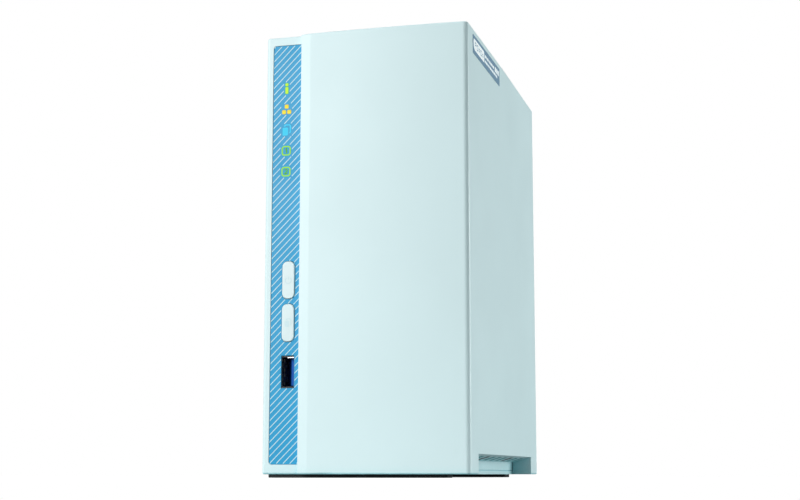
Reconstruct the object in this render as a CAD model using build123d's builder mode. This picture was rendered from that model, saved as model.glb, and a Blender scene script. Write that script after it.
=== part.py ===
"""Two-bay desktop network attached storage unit, as an assembly of separate parts.

Units are millimetres. +X is the unit's right, seen from the front, +Y points to the rear and +Z up.
The origin is on the table, under the centre of the unit. The case is a clamshell: a base shell with the
indicator strip on the left, and a cover with the raised front face that draws off to the right.
"""

from build123d import *
import math
import os

os.makedirs("parts", exist_ok=True)

# ---------------------------------------------------------------- driving dimensions
WIDTH, DEPTH, HEIGHT = 90.2, 156.3, 188.6
FOOT = 1.4  # thickness of the rubber feet
WALL = 2.1  # case wall
GAP = 0.12  # seam between base shell and cover
SIDE_DRAFT = 0.45  # each side is this much narrower at its front and rear ends than at mid depth
EDGE_R = 0.8  # outer edge rounding

HALF_W = WIDTH / 2
HALF_END = HALF_W - SIDE_DRAFT
REAR = DEPTH / 2
FRONT = -DEPTH / 2
INNER_X = 43.0  # inside faces of both side walls
INNER_TOP = HEIGHT - WALL
FLOOR = FOOT + 2.2  # inside face of the case floor

# front
STRIP_Y = FRONT + 3.15  # plane of the recessed indicator strip
SEAM_X = -28.5  # left edge of the cover
BEVEL_W = 4.5  # shallow bevel along the cover's left edge
COVER_EDGE_Y = FRONT + 1.25
BEVEL_Y = FRONT + 0.53
CROWN_X = 4.0  # where the gently convex front reaches furthest forward
CROWN_END_Y = FRONT + 1.1
CORNER_R = 2.2  # front right vertical edge
COVER_FRONT_INNER = FRONT + 2.2
STRIP_INNER = STRIP_Y + WALL
LAP = 2.2  # width of the base's front wall that the cover laps over

# right side air intake
INTAKE_Y = (-62.0, 61.0)
INTAKE_X = 35.6  # inner wall of the recess
INTAKE_TOP = 9.7  # height of the recess at the outer wall
INTAKE_DROP = 2.5  # its ceiling is this much lower at the inner wall
SHELF_T = 2.0
SLOT_COUNT, SLOT_W, SLOT_PITCH = 9, 6.5, 13.2

# front panel details
OVERLAY_X = (-41.5, -28.7)
OVERLAY_Z = (5.5, 184.7)
OVERLAY_T = 0.35
OVERLAY_SINK = 0.2  # how far the overlay's face lies behind the strip's plane
OVERLAY_R = 1.2
OVERLAY_FACE = STRIP_Y + OVERLAY_SINK
CONTROL_X = -33.75  # centre line of buttons and USB port
ICON_X = -35.05
ICON_Z = [165.6 - 9.1 * i for i in range(5)]
BUTTON_W, BUTTON_H, BUTTON_R = 5.5, 15.9, 2.3
BUTTON_Z = {"power": 82.45, "copy": 64.35}
BUTTON_GAP = 0.2
BUTTON_TRAVEL = 0.7
USB_Z = 43.8

# main board, standing against the left wall
BOARD_X = (-38.5, -36.9)
BOARD_Z = (8.0, 178.0)
BOARD_Y = (-70.4, 69.0)
BOARD_NOTCH = (43.0, 96.0)  # the board ends at this Y above this Z, to clear the fan

# rear panel, fan and ports
PANEL_Y = (70.0, 72.5)
FAN_SIZE, FAN_DEPTH = 80.0, 25.0
FAN_X, FAN_Z = 1.5, 140.0
FAN_REAR = PANEL_Y[0] - 0.1
FAN_FRONT = FAN_REAR - FAN_DEPTH
FAN_PITCH = 71.5
RING_R = 38.0  # fan opening
PORT_FACE = PANEL_Y[1] + 0.4
LAN_Z = 46.0
REAR_USB_Z = (66.0, 83.5)
DC_X, DC_Z = -31.0, 17.5
RESET_X, RESET_Z = -34.0, 30.0
THUMB_X, THUMB_Z = 37.3, (22.0, 90.0)
LOCK_X, LOCK_Z = 12.0, 15.0

# drives, standing on their connector end
DRIVE = (26.1, 101.6, 147.0)
DRIVE_X = (-18.5, 12.0)  # left face of each drive
DRIVE_Y = -65.8
DRIVE_Z = 24.0
RAIL_T = 3.0
CAGE_X = (-21.0, 41.2)
CAGE_Z = (17.0, 150.0)
SHEET = 1.2
SATA_Y = -32.0  # centre of the drives' connectors
SATA_L = 42.0


# ---------------------------------------------------------------- helpers
def block(low, high, mode=Mode.ADD):
    """A box from its lowest to its highest corner, in the part being built."""
    with Locations(low):
        Box(*(b - a for a, b in zip(low, high)), align=(Align.MIN,) * 3, mode=mode)


def save(part, name):
    part.label = name
    export_step(part, f"parts/{name}.step")


def facing(origin, normal, x_dir=(0, 0, 1)):
    """A work plane at origin that looks along normal."""
    return Plane(origin=origin, x_dir=x_dir, z_dir=normal)


def cross_screw(planes, head_r, head_h, shank_r, shank_l):
    """Pan head screws with a cross recess, one on each plane, whose normal points out of the head."""
    with BuildPart() as screws:
        for plane in planes:
            with BuildSketch(plane):
                Circle(head_r)
            extrude(amount=head_h)
            crown = screws.faces(Select.LAST).sort_by(Axis(plane.origin, plane.z_dir))[-1]
            fillet(crown.edges(), head_h * 0.45)
            with BuildSketch(plane):
                Circle(shank_r)
            extrude(amount=-shank_l)
            with BuildSketch(plane.offset(head_h)):
                Rectangle(head_r * 1.1, head_r * 0.28)
                Rectangle(head_r * 0.28, head_r * 1.1)
            extrude(amount=-head_h * 0.6, mode=Mode.SUBTRACT)
    return screws.part


# ---------------------------------------------------------------- case
with BuildPart() as base_shell:
    with BuildSketch(Plane.XY.offset(FOOT)) as base_plan:
        with BuildLine():
            Polyline(
                (SEAM_X - GAP / 2, STRIP_Y), (-HALF_END, STRIP_Y), (-HALF_W, 0), (-HALF_END, REAR),
                (SEAM_X - GAP / 2, REAR), close=True,
            )
        make_face()
        fillet(base_plan.vertices().group_by(Axis.Y)[0].sort_by(Axis.X)[0], 1.3)
    extrude(amount=HEIGHT - FOOT)
    seam = base_shell.edges().filter_by(lambda e: abs(e.center().X - (SEAM_X - GAP / 2)) < 0.01)
    rims = base_shell.edges().group_by(Axis.Z)[0] + base_shell.edges().group_by(Axis.Z)[-1]
    fillet([e for e in rims if e not in seam], EDGE_R)
    # hollow, open to the right and to the rear
    block((-INNER_X, STRIP_INNER, FLOOR), (0, REAR + 1, INNER_TOP), Mode.SUBTRACT)
    # lap of the front wall, which runs behind the cover's left edge
    block((SEAM_X - 1, STRIP_Y, FLOOR), (SEAM_X + LAP, STRIP_INNER, INNER_TOP - 0.3))
    # floor, as far as the intake's inner wall
    block((SEAM_X - 1, STRIP_Y + 1, FOOT), (INTAKE_X, REAR, FLOOR))
    block((SEAM_X + GAP, FRONT + 2.45, FOOT), (INTAKE_X, STRIP_Y + 2, FLOOR))
    block((INTAKE_X - WALL, INTAKE_Y[0], FLOOR), (INTAKE_X, INTAKE_Y[1], INTAKE_TOP - 0.9))
    block((INTAKE_X - 0.4, INTAKE_Y[0], 2.9), (INTAKE_X, INTAKE_Y[1], 3.3), Mode.SUBTRACT)
    # stiffening ribs and the rebate of the rear panel
    for rib_z in (56.0, 112.0, 168.0):
        block((-INNER_X, -60, rib_z), (-INNER_X + 1.6, 66, rib_z + 1.4))
    block((-INNER_X, PANEL_Y[0] - 2.0, FLOOR), (-INNER_X + 2.4, PANEL_Y[0] - 0.1, INNER_TOP))
    block((-INNER_X, PANEL_Y[0] - 2.0, FLOOR), (INTAKE_X, PANEL_Y[0] - 0.1, FLOOR + 2.4))
    # recess for the overlay, and the openings behind it
    overlay_mid = ((OVERLAY_X[0] + OVERLAY_X[1]) / 2, sum(OVERLAY_Z) / 2)
    with BuildSketch(facing((0, STRIP_Y, 0), (0, 1, 0), (1, 0, 0))) as recess:
        with Locations((overlay_mid[0], -overlay_mid[1])):
            Rectangle(OVERLAY_X[1] - OVERLAY_X[0] + 0.2, OVERLAY_Z[1] - OVERLAY_Z[0] + 0.2)
        fillet(recess.vertices().group_by(Axis.X)[0], OVERLAY_R + 0.1)
    extrude(amount=OVERLAY_SINK + OVERLAY_T, mode=Mode.SUBTRACT)
    for name, z in BUTTON_Z.items():
        with BuildSketch(facing((CONTROL_X, STRIP_Y, z), (0, 1, 0), (1, 0, 0))):
            RectangleRounded(BUTTON_W + 2 * BUTTON_GAP, BUTTON_H + 2 * BUTTON_GAP, BUTTON_R + BUTTON_GAP)
        extrude(amount=WALL + 1, mode=Mode.SUBTRACT)
    block(
        (CONTROL_X - 2.95, STRIP_Y, USB_Z - 6.9), (CONTROL_X + 2.95, STRIP_INNER, USB_Z + 6.9),
        Mode.SUBTRACT,
    )
    for z in ICON_Z:
        block((ICON_X - 2.3, STRIP_Y, z - 2.6), (ICON_X + 2.3, STRIP_INNER, z + 2.6), Mode.SUBTRACT)
    # standoffs for the main board
    STANDOFFS = [(-60, 20), (-60, 120), (30, 20), (30, 120), (-60, 172), (30, 172)]
    for y, z in STANDOFFS:
        with BuildSketch(facing((-INNER_X, y, z), (1, 0, 0))):
            Circle(3.2)
        extrude(amount=BOARD_X[0] + INNER_X)
        with BuildSketch(facing((BOARD_X[0], y, z), (1, 0, 0))):
            Circle(1.3)
        extrude(amount=-4.0, mode=Mode.SUBTRACT)
    # bosses for the drive cage
    CAGE_FEET = [(x, y) for x in (-14.0, 27.0) for y in (-60.0, 30.0)]
    for x, y in CAGE_FEET:
        with BuildSketch(Plane.XY.offset(FLOOR)):
            with Locations((x, y)):
                Circle(4.0)
        extrude(amount=4.4)
        with BuildSketch(Plane.XY.offset(FLOOR + 4.4)):
            with Locations((x, y)):
                Circle(1.3)
        extrude(amount=-5.0, mode=Mode.SUBTRACT)
    # intake slots in the floor
    with BuildSketch(Plane.XY.offset(FOOT)):
        with GridLocations(34, 8, 2, 9):
            SlotOverall(26, 3)
    extrude(amount=FLOOR - FOOT, mode=Mode.SUBTRACT)
save(base_shell.part, "base_shell")

with BuildPart() as cover:
    left = SEAM_X + GAP / 2
    with BuildSketch(Plane.XY.offset(FOOT)) as cover_plan:
        with BuildLine():
            ThreePointArc((SEAM_X + BEVEL_W, BEVEL_Y), (CROWN_X, FRONT), (HALF_END, CROWN_END_Y))
            Polyline(
                (HALF_END, CROWN_END_Y), (HALF_W, 0), (HALF_END, REAR), (left, REAR),
                (left, COVER_EDGE_Y), (SEAM_X + BEVEL_W, BEVEL_Y),
            )
        make_face()
        fillet(cover_plan.vertices().sort_by_distance((HALF_END, CROWN_END_Y))[0], CORNER_R)
    extrude(amount=HEIGHT - FOOT)
    seam = cover.edges().filter_by(lambda e: abs(e.center().X - left) < 0.01)
    rims = cover.edges().group_by(Axis.Z)[0] + cover.edges().group_by(Axis.Z)[-1]
    fillet([e for e in rims if e not in seam], EDGE_R)
    step_edge = cover.edges().filter_by(Axis.Z).sort_by_distance((left, COVER_EDGE_Y, HEIGHT / 2))[0]
    fillet(step_edge, 0.3)
    # hollow, open to the left and to the rear, and over the base's floor
    block((SEAM_X + LAP + 0.3, COVER_FRONT_INNER, FLOOR), (INNER_X, REAR + 1, INNER_TOP), Mode.SUBTRACT)
    block(
        (SEAM_X - 1, STRIP_Y - 0.12, FLOOR - 0.2), (SEAM_X + LAP + 0.3, REAR + 1, INNER_TOP),
        Mode.SUBTRACT,
    )
    block((SEAM_X - 1, FRONT + 2.3, 0), (INTAKE_X + 0.2, REAR + 1, FLOOR + 0.2), Mode.SUBTRACT)
    # intake recess: shelf and end walls, then the recess itself
    with BuildSketch(facing((0, INTAKE_Y[0] - SHELF_T, 0), (0, 1, 0), (1, 0, 0))):
        with BuildLine():
            Polyline(
                (INTAKE_X + 0.2, -FOOT), (INNER_X + 0.5, -FOOT),
                (INNER_X + 0.5, -(INTAKE_TOP + SHELF_T)),
                (INTAKE_X + 0.2, -(INTAKE_TOP - INTAKE_DROP + SHELF_T)), close=True,
            )
        make_face()
    extrude(amount=INTAKE_Y[1] - INTAKE_Y[0] + 2 * SHELF_T)
    with BuildSketch(facing((0, INTAKE_Y[0], 0), (0, 1, 0), (1, 0, 0))):
        with BuildLine():
            Polyline(
                (INTAKE_X, 0), (HALF_W + 1, 0), (HALF_W + 1, -INTAKE_TOP),
                (HALF_END - 0.4, -INTAKE_TOP), (INTAKE_X, -(INTAKE_TOP - INTAKE_DROP)), close=True,
            )
        make_face()
    extrude(amount=INTAKE_Y[1] - INTAKE_Y[0], mode=Mode.SUBTRACT)
    slot_from = sum(INTAKE_Y) / 2 - SLOT_PITCH * (SLOT_COUNT - 1) / 2
    for i in range(SLOT_COUNT):
        y = slot_from + i * SLOT_PITCH
        block(
            (INTAKE_X + 1.2, y - SLOT_W / 2, FOOT + 3), (INNER_X - 1.0, y + SLOT_W / 2, 14.0),
            Mode.SUBTRACT,
        )
    # tongues that slip behind the base's front wall and under its top wall
    for z in (21.0, 109.0, 155.0):
        block((-26.0, COVER_FRONT_INNER, z - 6), (-24.6, STRIP_INNER + 1.6, z + 6))
        block((-32.4, STRIP_INNER + 0.2, z - 6), (-24.6, STRIP_INNER + 1.6, z + 6))
    for y in (-50.0, 0.0, 50.0):
        block((-27.0, y - 7, INNER_TOP - 1.8), (-25.4, y + 7, INNER_TOP))
        block((-33.0, y - 7, INNER_TOP - 1.8), (-25.4, y + 7, INNER_TOP - 0.2))
    # ribs inside the right wall
    for y in (-52.0, -17.0, 18.0):
        block((INNER_X - 1.2, y, 22.0), (INNER_X, y + 1.4, INNER_TOP))
    # rear tabs, each with a slot that opens to the left
    for z in THUMB_Z:
        block((THUMB_X - 4.3, PANEL_Y[1] + 0.15, z - 6.5), (INNER_X, PANEL_Y[1] + 1.65, z + 6.5))
        block((THUMB_X - 5, PANEL_Y[1], z - 1.8), (THUMB_X, PANEL_Y[1] + 2, z + 1.8), Mode.SUBTRACT)
        with BuildSketch(facing((THUMB_X, PANEL_Y[1], z), (0, 1, 0))):
            Circle(1.8)
        extrude(amount=2, mode=Mode.SUBTRACT)
save(cover.part, "cover")

with BuildPart() as rear_panel:
    block((-INNER_X + 0.2, PANEL_Y[0], FLOOR), (INNER_X - 0.5, PANEL_Y[1], INNER_TOP - 0.2))
    # fan opening, seat of the grille and the fan's screw holes
    with BuildSketch(facing((FAN_X, PANEL_Y[0], FAN_Z), (0, 1, 0), (1, 0, 0))):
        Circle(RING_R)
    extrude(amount=3, mode=Mode.SUBTRACT)
    with BuildSketch(facing((FAN_X, PANEL_Y[0], FAN_Z), (0, 1, 0), (1, 0, 0))):
        Circle(RING_R + 1.6)
    extrude(amount=1.1, mode=Mode.SUBTRACT)
    with BuildSketch(facing((FAN_X, PANEL_Y[0], FAN_Z), (0, 1, 0), (1, 0, 0))):
        with GridLocations(FAN_PITCH, FAN_PITCH, 2, 2):
            Circle(2.2)
    extrude(amount=3, mode=Mode.SUBTRACT)
    # raised ring round the fan opening
    with BuildSketch(facing((FAN_X, PANEL_Y[1], FAN_Z), (0, 1, 0), (1, 0, 0))):
        Circle(RING_R + 1.4)
        Circle(RING_R, mode=Mode.SUBTRACT)
    extrude(amount=0.6)
    # ports
    block((BOARD_X[1], 60, LAN_Z - 8.3), (BOARD_X[1] + 13.9, 80, LAN_Z + 8.3), Mode.SUBTRACT)
    for z in REAR_USB_Z:
        block((CONTROL_X - 3.1, 60, z - 6.8), (CONTROL_X + 3.1, 80, z + 6.8), Mode.SUBTRACT)
    with BuildSketch(facing((DC_X, PANEL_Y[0], DC_Z), (0, 1, 0))):
        Circle(4.6)
    extrude(amount=3, mode=Mode.SUBTRACT)
    with BuildSketch(facing((RESET_X, PANEL_Y[0], RESET_Z), (0, 1, 0))):
        Circle(1.0)
    extrude(amount=3, mode=Mode.SUBTRACT)
    # lock slot, insert holes, vent slots
    with BuildSketch(facing((LOCK_X, PANEL_Y[0], LOCK_Z), (0, 1, 0), (1, 0, 0))):
        RectangleRounded(7.2, 3.2, 0.8)
    extrude(amount=3, mode=Mode.SUBTRACT)
    for z in THUMB_Z:
        with BuildSketch(facing((THUMB_X, PANEL_Y[0], z), (0, 1, 0))):
            Circle(2.6)
        extrude(amount=3, mode=Mode.SUBTRACT)
    with BuildSketch(facing((8.0, PANEL_Y[0], 59.0), (0, 1, 0), (1, 0, 0))):
        with GridLocations(0, 6.0, 1, 9):
            SlotOverall(42, 3.0)
    extrude(amount=3, mode=Mode.SUBTRACT)
save(rear_panel.part, "rear_panel")

with BuildPart() as fan_grille:
    with BuildSketch(facing((FAN_X, PANEL_Y[0] + 0.05, FAN_Z), (0, 1, 0), (1, 0, 0))):
        Circle(RING_R + 1.4)
        pitch = 6.0
        cells = [
            (pitch * (i + 0.5 * (j % 2)), pitch * math.sqrt(3) / 2 * j)
            for i in range(-8, 9) for j in range(-8, 9)
        ]
        with Locations([c for c in cells if math.hypot(*c) < RING_R - 3.0]):
            RegularPolygon(2.55, 6, major_radius=False, rotation=30, mode=Mode.SUBTRACT)
    extrude(amount=1.0)
save(fan_grille.part, "fan_grille")

with BuildPart() as foot_front:
    block((-42.6, -73.0, 0), (34.2, -63.0, FOOT))
    fillet(foot_front.edges().filter_by(Axis.Z), 1.0)
    fillet(foot_front.faces().sort_by(Axis.Z)[0].edges(), 0.3)
save(foot_front.part, "foot_front")

with BuildPart() as foot_rear:
    block((-42.6, 50.0, 0), (34.2, 60.0, FOOT))
    fillet(foot_rear.edges().filter_by(Axis.Z), 1.0)
    fillet(foot_rear.faces().sort_by(Axis.Z)[0].edges(), 0.3)
save(foot_rear.part, "foot_rear")

# ---------------------------------------------------------------- front strip
with BuildPart() as overlay:
    with BuildSketch(facing((0, OVERLAY_FACE, 0), (0, 1, 0), (1, 0, 0))) as film:
        with Locations((overlay_mid[0], -overlay_mid[1])):
            Rectangle(OVERLAY_X[1] - OVERLAY_X[0], OVERLAY_Z[1] - OVERLAY_Z[0])
        fillet(film.vertices().group_by(Axis.X)[0], OVERLAY_R)
        for z in BUTTON_Z.values():
            with Locations((CONTROL_X, -z)):
                RectangleRounded(
                    BUTTON_W + 2 * BUTTON_GAP, BUTTON_H + 2 * BUTTON_GAP, BUTTON_R + BUTTON_GAP,
                    mode=Mode.SUBTRACT,
                )
        with Locations((CONTROL_X, -USB_Z)):
            Rectangle(5.75, 13.65, mode=Mode.SUBTRACT)
    extrude(amount=OVERLAY_T)
save(overlay.part, "overlay")

SWITCH_FACE = -67.4  # front face of the tact switches
for name, z in BUTTON_Z.items():
    with BuildPart() as cap:
        with BuildSketch(facing((CONTROL_X, STRIP_Y - 0.35, z), (0, 1, 0), (1, 0, 0))):
            RectangleRounded(BUTTON_W, BUTTON_H, BUTTON_R)
        extrude(amount=WALL + 0.35)
        fillet(cap.faces().sort_by(Axis.Y)[0].edges(), 0.4)
        # flange behind the wall, and the stem to the switch
        flange_y = STRIP_INNER + 0.05
        block((CONTROL_X - 3.4, flange_y - 0.2, z - 9.0), (CONTROL_X + 3.4, flange_y + 1.0, z + 9.0))
        block((CONTROL_X - 4, flange_y - 1, z - 10), (CONTROL_X + 4, flange_y, z + 10), Mode.SUBTRACT)
        with BuildSketch(facing((CONTROL_X, STRIP_Y - 0.35, z), (0, 1, 0), (1, 0, 0))):
            RectangleRounded(BUTTON_W, BUTTON_H, BUTTON_R)
        extrude(amount=WALL + 0.6)
        fillet(cap.faces().sort_by(Axis.Y)[0].edges(), 0.4)
        block((CONTROL_X - 1.4, flange_y + 0.5, z - 1.4), (CONTROL_X + 1.4, SWITCH_FACE - 0.9, z + 1.4))
    save(cap.part, f"{name}_button_cap")
    with BuildPart() as plunger:
        with BuildSketch(facing((CONTROL_X, SWITCH_FACE - 0.9, z), (0, 1, 0))):
            Circle(1.5)
        extrude(amount=1.5)
    save(plunger.part, f"{name}_switch_plunger")

with BuildPart() as tact_switches:
    for z in BUTTON_Z.values():
        block((BOARD_X[1], SWITCH_FACE, z - 3), (CONTROL_X + 3, SWITCH_FACE + 3.4, z + 3))
        with BuildSketch(facing((CONTROL_X, SWITCH_FACE, z), (0, 1, 0))):
            Circle(1.6)
        extrude(amount=2.0, mode=Mode.SUBTRACT)
    block((BOARD_X[1], 63.2, RESET_Z - 3), (RESET_X + 3, 66.6, RESET_Z + 3))
    with BuildSketch(facing((RESET_X, 66.6, RESET_Z), (0, -1, 0))):
        Circle(1.1)
    extrude(amount=2.0, mode=Mode.SUBTRACT)
save(tact_switches.part, "tact_switches")

with BuildPart() as reset_plunger:
    with BuildSketch(facing((RESET_X, 66.6 - 0.8, RESET_Z), (0, 1, 0))):
        Circle(1.0)
    extrude(amount=3.0)
    fillet(reset_plunger.faces().sort_by(Axis.Y)[-1].edges(), 0.3)
save(reset_plunger.part, "reset_plunger")

with BuildPart() as light_pipe:
    pipe_low, pipe_high = ICON_X - 1.9, ICON_X + 1.9
    pipe_back = STRIP_INNER + 1.5
    block((pipe_low, STRIP_INNER + 0.3, ICON_Z[-1] - 3.4), (pipe_high, pipe_back, ICON_Z[0] + 3.4))
    for z in ICON_Z:
        block((pipe_low, STRIP_Y + OVERLAY_SINK + OVERLAY_T, z - 2.2), (pipe_high, pipe_back, z + 2.2))
        block((ICON_X - 1.0, STRIP_INNER + 1.0, z - 1.2), (ICON_X + 1.6, BOARD_Y[0] + 0.6, z + 1.2))
save(light_pipe.part, "light_pipe")

with BuildPart() as indicator_leds:
    for z in ICON_Z:
        block((BOARD_X[1], BOARD_Y[0] + 0.8, z - 0.8), (BOARD_X[1] + 1.4, BOARD_Y[0] + 2.4, z + 0.8))
save(indicator_leds.part, "indicator_leds")

# ---------------------------------------------------------------- main board
with BuildPart() as main_board:
    with BuildSketch(facing((BOARD_X[0], 0, 0), (1, 0, 0), (0, 1, 0))) as board_plan:
        with BuildLine():
            Polyline(
                (BOARD_Y[0], BOARD_Z[0]), (BOARD_Y[1], BOARD_Z[0]), (BOARD_Y[1], BOARD_NOTCH[1]),
                (BOARD_NOTCH[0], BOARD_NOTCH[1]), (BOARD_NOTCH[0], BOARD_Z[1]),
                (BOARD_Y[0], BOARD_Z[1]), close=True,
            )
        make_face()
        fillet(board_plan.vertices(), 1.5)
        with Locations(STANDOFFS):
            Circle(1.7, mode=Mode.SUBTRACT)
    extrude(amount=BOARD_X[1] - BOARD_X[0])
save(main_board.part, "main_board")

save(
    cross_screw([facing((BOARD_X[1], y, z), (1, 0, 0)) for y, z in STANDOFFS], 2.8, 1.8, 1.25, 5.0),
    "board_screws",
)

SOC_Y, SOC_Z = -14.0, 72.0
with BuildPart() as soc_chip:
    block((BOARD_X[1], SOC_Y - 9.5, SOC_Z - 9.5), (BOARD_X[1] + 1.5, SOC_Y + 9.5, SOC_Z + 9.5))
    chamfer(soc_chip.faces().sort_by(Axis.X)[-1].edges(), 0.3)
save(soc_chip.part, "soc_chip")

with BuildPart() as soc_heatsink:
    x0 = BOARD_X[1] + 1.5
    block((x0, SOC_Y - 20, SOC_Z - 20), (x0 + 2.5, SOC_Y + 20, SOC_Z + 20))
    for i in range(11):
        y = SOC_Y - 20 + i * 3.88
        block((x0 + 2.5, y, SOC_Z - 20), (x0 + 11.0, y + 1.2, SOC_Z + 20))
save(soc_heatsink.part, "soc_heatsink")

with BuildPart() as memory_chips:
    for y in (-46.0, 14.0):
        for z in (62.0, 76.0):
            block((BOARD_X[1], y, z), (BOARD_X[1] + 1.1, y + 13.3, z + 7.5))
            block((BOARD_X[1], y, z - 18), (BOARD_X[1] + 1.1, y + 13.3, z - 10.5))
save(memory_chips.part, "memory_chips")

with BuildPart() as capacitors:
    with BuildSketch(facing((BOARD_X[1], 0, 0), (1, 0, 0), (0, 1, 0))):
        with Locations((44, 14), (44, 24), (34, 34), (44, 34), (-40, 104), (-30, 104)):
            Circle(3.1)
    extrude(amount=7.5)
    fillet(capacitors.faces().group_by(Axis.X)[-1].edges(), 0.5)
save(capacitors.part, "capacitors")

with BuildPart() as inductors:
    for y, z in ((52.0, 26.0), (20.0, 34.0), (-42.0, 116.0)):
        block((BOARD_X[1], y - 3.5, z - 3.5), (BOARD_X[1] + 4.0, y + 3.5, z + 3.5))
    fillet(inductors.edges().filter_by(Axis.X), 1.0)
save(inductors.part, "inductors")

with BuildPart() as battery_holder:
    with BuildSketch(facing((BOARD_X[1], -44.0, 31.0), (1, 0, 0))):
        Circle(11.6)
    extrude(amount=4.6)
    with BuildSketch(facing((BOARD_X[1] + 4.6, -44.0, 31.0), (1, 0, 0))):
        Circle(10.1)
    extrude(amount=-3.6, mode=Mode.SUBTRACT)
save(battery_holder.part, "battery_holder")

with BuildPart() as coin_cell:
    with BuildSketch(facing((BOARD_X[1] + 1.0, -44.0, 31.0), (1, 0, 0))):
        Circle(10.0)
    extrude(amount=3.2)
    fillet(coin_cell.faces().sort_by(Axis.X)[-1].edges(), 0.5)
save(coin_cell.part, "coin_cell")


def usb_shell(front, centre_z, out):
    """The folded steel shell of a USB-A socket, upright. out is -1 or 1, towards its mouth."""
    with BuildSketch(facing((CONTROL_X, front, centre_z), (0, -out, 0))) as folded:
        RectangleRounded(13.1, 5.72, 0.6)
        RectangleRounded(12.5, 5.12, 0.3, mode=Mode.SUBTRACT)
    extrude(folded.sketch, amount=14.0)


def usb_insert(front, centre_z, out):
    """The plastic insert of a USB-A socket: a rear block and the tongue that carries the contacts."""
    back = front - out * 13.9
    block_face = front - out * 9.0
    tongue_face = front - out * 2.8
    block(
        (CONTROL_X - 2.45, min(back, block_face), centre_z - 6.1),
        (CONTROL_X + 2.45, max(back, block_face), centre_z + 6.1),
    )
    block(
        (CONTROL_X + 0.55, min(tongue_face, block_face), centre_z - 5.55),
        (CONTROL_X + 2.25, max(tongue_face, block_face), centre_z + 5.55),
    )


FRONT_USB_FACE = OVERLAY_FACE + 0.6
with BuildPart() as usb_front_shell:
    usb_shell(FRONT_USB_FACE, USB_Z, -1)
save(usb_front_shell.part, "usb_front_shell")

with BuildPart() as usb_front_insert:
    usb_insert(FRONT_USB_FACE, USB_Z, -1)
save(usb_front_insert.part, "usb_front_insert")

with BuildPart() as usb_rear_shells:
    for z in REAR_USB_Z:
        usb_shell(PORT_FACE, z, 1)
save(usb_rear_shells.part, "usb_rear_shells")

with BuildPart() as usb_rear_inserts:
    for z in REAR_USB_Z:
        usb_insert(PORT_FACE, z, 1)
save(usb_rear_inserts.part, "usb_rear_inserts")

LAN_BACK = PORT_FACE - 21.0
LAN_CAVITY = ((BOARD_X[1] + 3.2, BOARD_X[1] + 10.2), 12.0)  # X span and depth of the plug's space
with BuildPart() as lan_jack:
    block((BOARD_X[1], LAN_BACK, LAN_Z - 8.0), (BOARD_X[1] + 13.5, PORT_FACE, LAN_Z + 8.0))
    (cavity_low, cavity_high), cavity_depth = LAN_CAVITY
    # the plug's space, and the stepped channel of its latch
    block(
        (cavity_low, PORT_FACE - cavity_depth, LAN_Z - 5.9), (cavity_high, PORT_FACE, LAN_Z + 5.9),
        Mode.SUBTRACT,
    )
    for half, height in ((3.1, 1.4), (1.7, 2.4)):
        block(
            (cavity_high, PORT_FACE - 9.0, LAN_Z - half), (cavity_high + height, PORT_FACE, LAN_Z + half),
            Mode.SUBTRACT,
        )
save(lan_jack.part, "lan_jack")

with BuildPart() as lan_contacts:
    for i in range(8):
        z = LAN_Z + (i - 3.5) * 1.02
        with BuildSketch(facing((0, 0, z - 0.2), (0, 0, 1), (1, 0, 0))):
            with BuildLine():
                Polyline(
                    (cavity_low, PORT_FACE - 2.5), (cavity_low + 0.4, PORT_FACE - 2.5),
                    (cavity_low + 1.7, PORT_FACE - 11.0), (cavity_low, PORT_FACE - 11.0), close=True,
                )
            make_face()
        extrude(amount=0.4)
save(lan_contacts.part, "lan_contacts")

with BuildPart() as dc_jack:
    block((BOARD_X[1], PORT_FACE - 14.4, DC_Z - 4.5), (DC_X + 4.6, PORT_FACE - 3.3, DC_Z + 4.5))
    with BuildSketch(facing((DC_X, PORT_FACE - 3.3, DC_Z), (0, 1, 0))):
        Circle(4.4)
    extrude(amount=3.3)
    with BuildSketch(facing((DC_X, PORT_FACE, DC_Z), (0, -1, 0))):
        Circle(3.1)
    extrude(amount=10.0, mode=Mode.SUBTRACT)
save(dc_jack.part, "dc_jack")

with BuildPart() as dc_pin:
    with BuildSketch(facing((DC_X, PORT_FACE - 10.0, DC_Z), (0, 1, 0))):
        Circle(1.25)
    extrude(amount=9.0)
    fillet(dc_pin.faces().sort_by(Axis.Y)[-1].edges(), 0.5)
save(dc_pin.part, "dc_pin")

# ---------------------------------------------------------------- fan
def fan_plane(y):
    """A work plane at the fan's axis, looking rearwards."""
    return facing((FAN_X, y, FAN_Z), (0, 1, 0), (1, 0, 0))


HUB_R = 17.0
with BuildPart() as fan_frame:
    with BuildSketch(fan_plane(FAN_FRONT)):
        RectangleRounded(FAN_SIZE, FAN_SIZE, 4.5)
        with GridLocations(FAN_PITCH, FAN_PITCH, 2, 2):
            Circle(2.15, mode=Mode.SUBTRACT)
    extrude(amount=FAN_DEPTH)
    # waist between the two flanges
    with BuildSketch(fan_plane(FAN_FRONT + 4.0)):
        Rectangle(FAN_SIZE + 2, FAN_SIZE + 2)
        Circle(RING_R + 1.8, mode=Mode.SUBTRACT)
    extrude(amount=FAN_DEPTH - 8.0, mode=Mode.SUBTRACT)
    with BuildSketch(fan_plane(FAN_FRONT)):
        Circle(RING_R)
    extrude(amount=FAN_DEPTH, mode=Mode.SUBTRACT)
    # motor base, its four struts and the bearing tube
    with BuildSketch(fan_plane(FAN_REAR - 2.6)):
        Circle(HUB_R - 0.5)
        for turn in (25, 115, 205, 295):
            with Locations(Rotation(0, 0, turn)):
                with Locations((27, 0)):
                    Rectangle(24, 3.2)
    extrude(amount=2.6)
    with BuildSketch(fan_plane(FAN_REAR - 17.0)):
        Circle(4.6)
        Circle(3.5, mode=Mode.SUBTRACT)
    extrude(amount=14.6)
save(fan_frame.part, "fan_frame")

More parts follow.
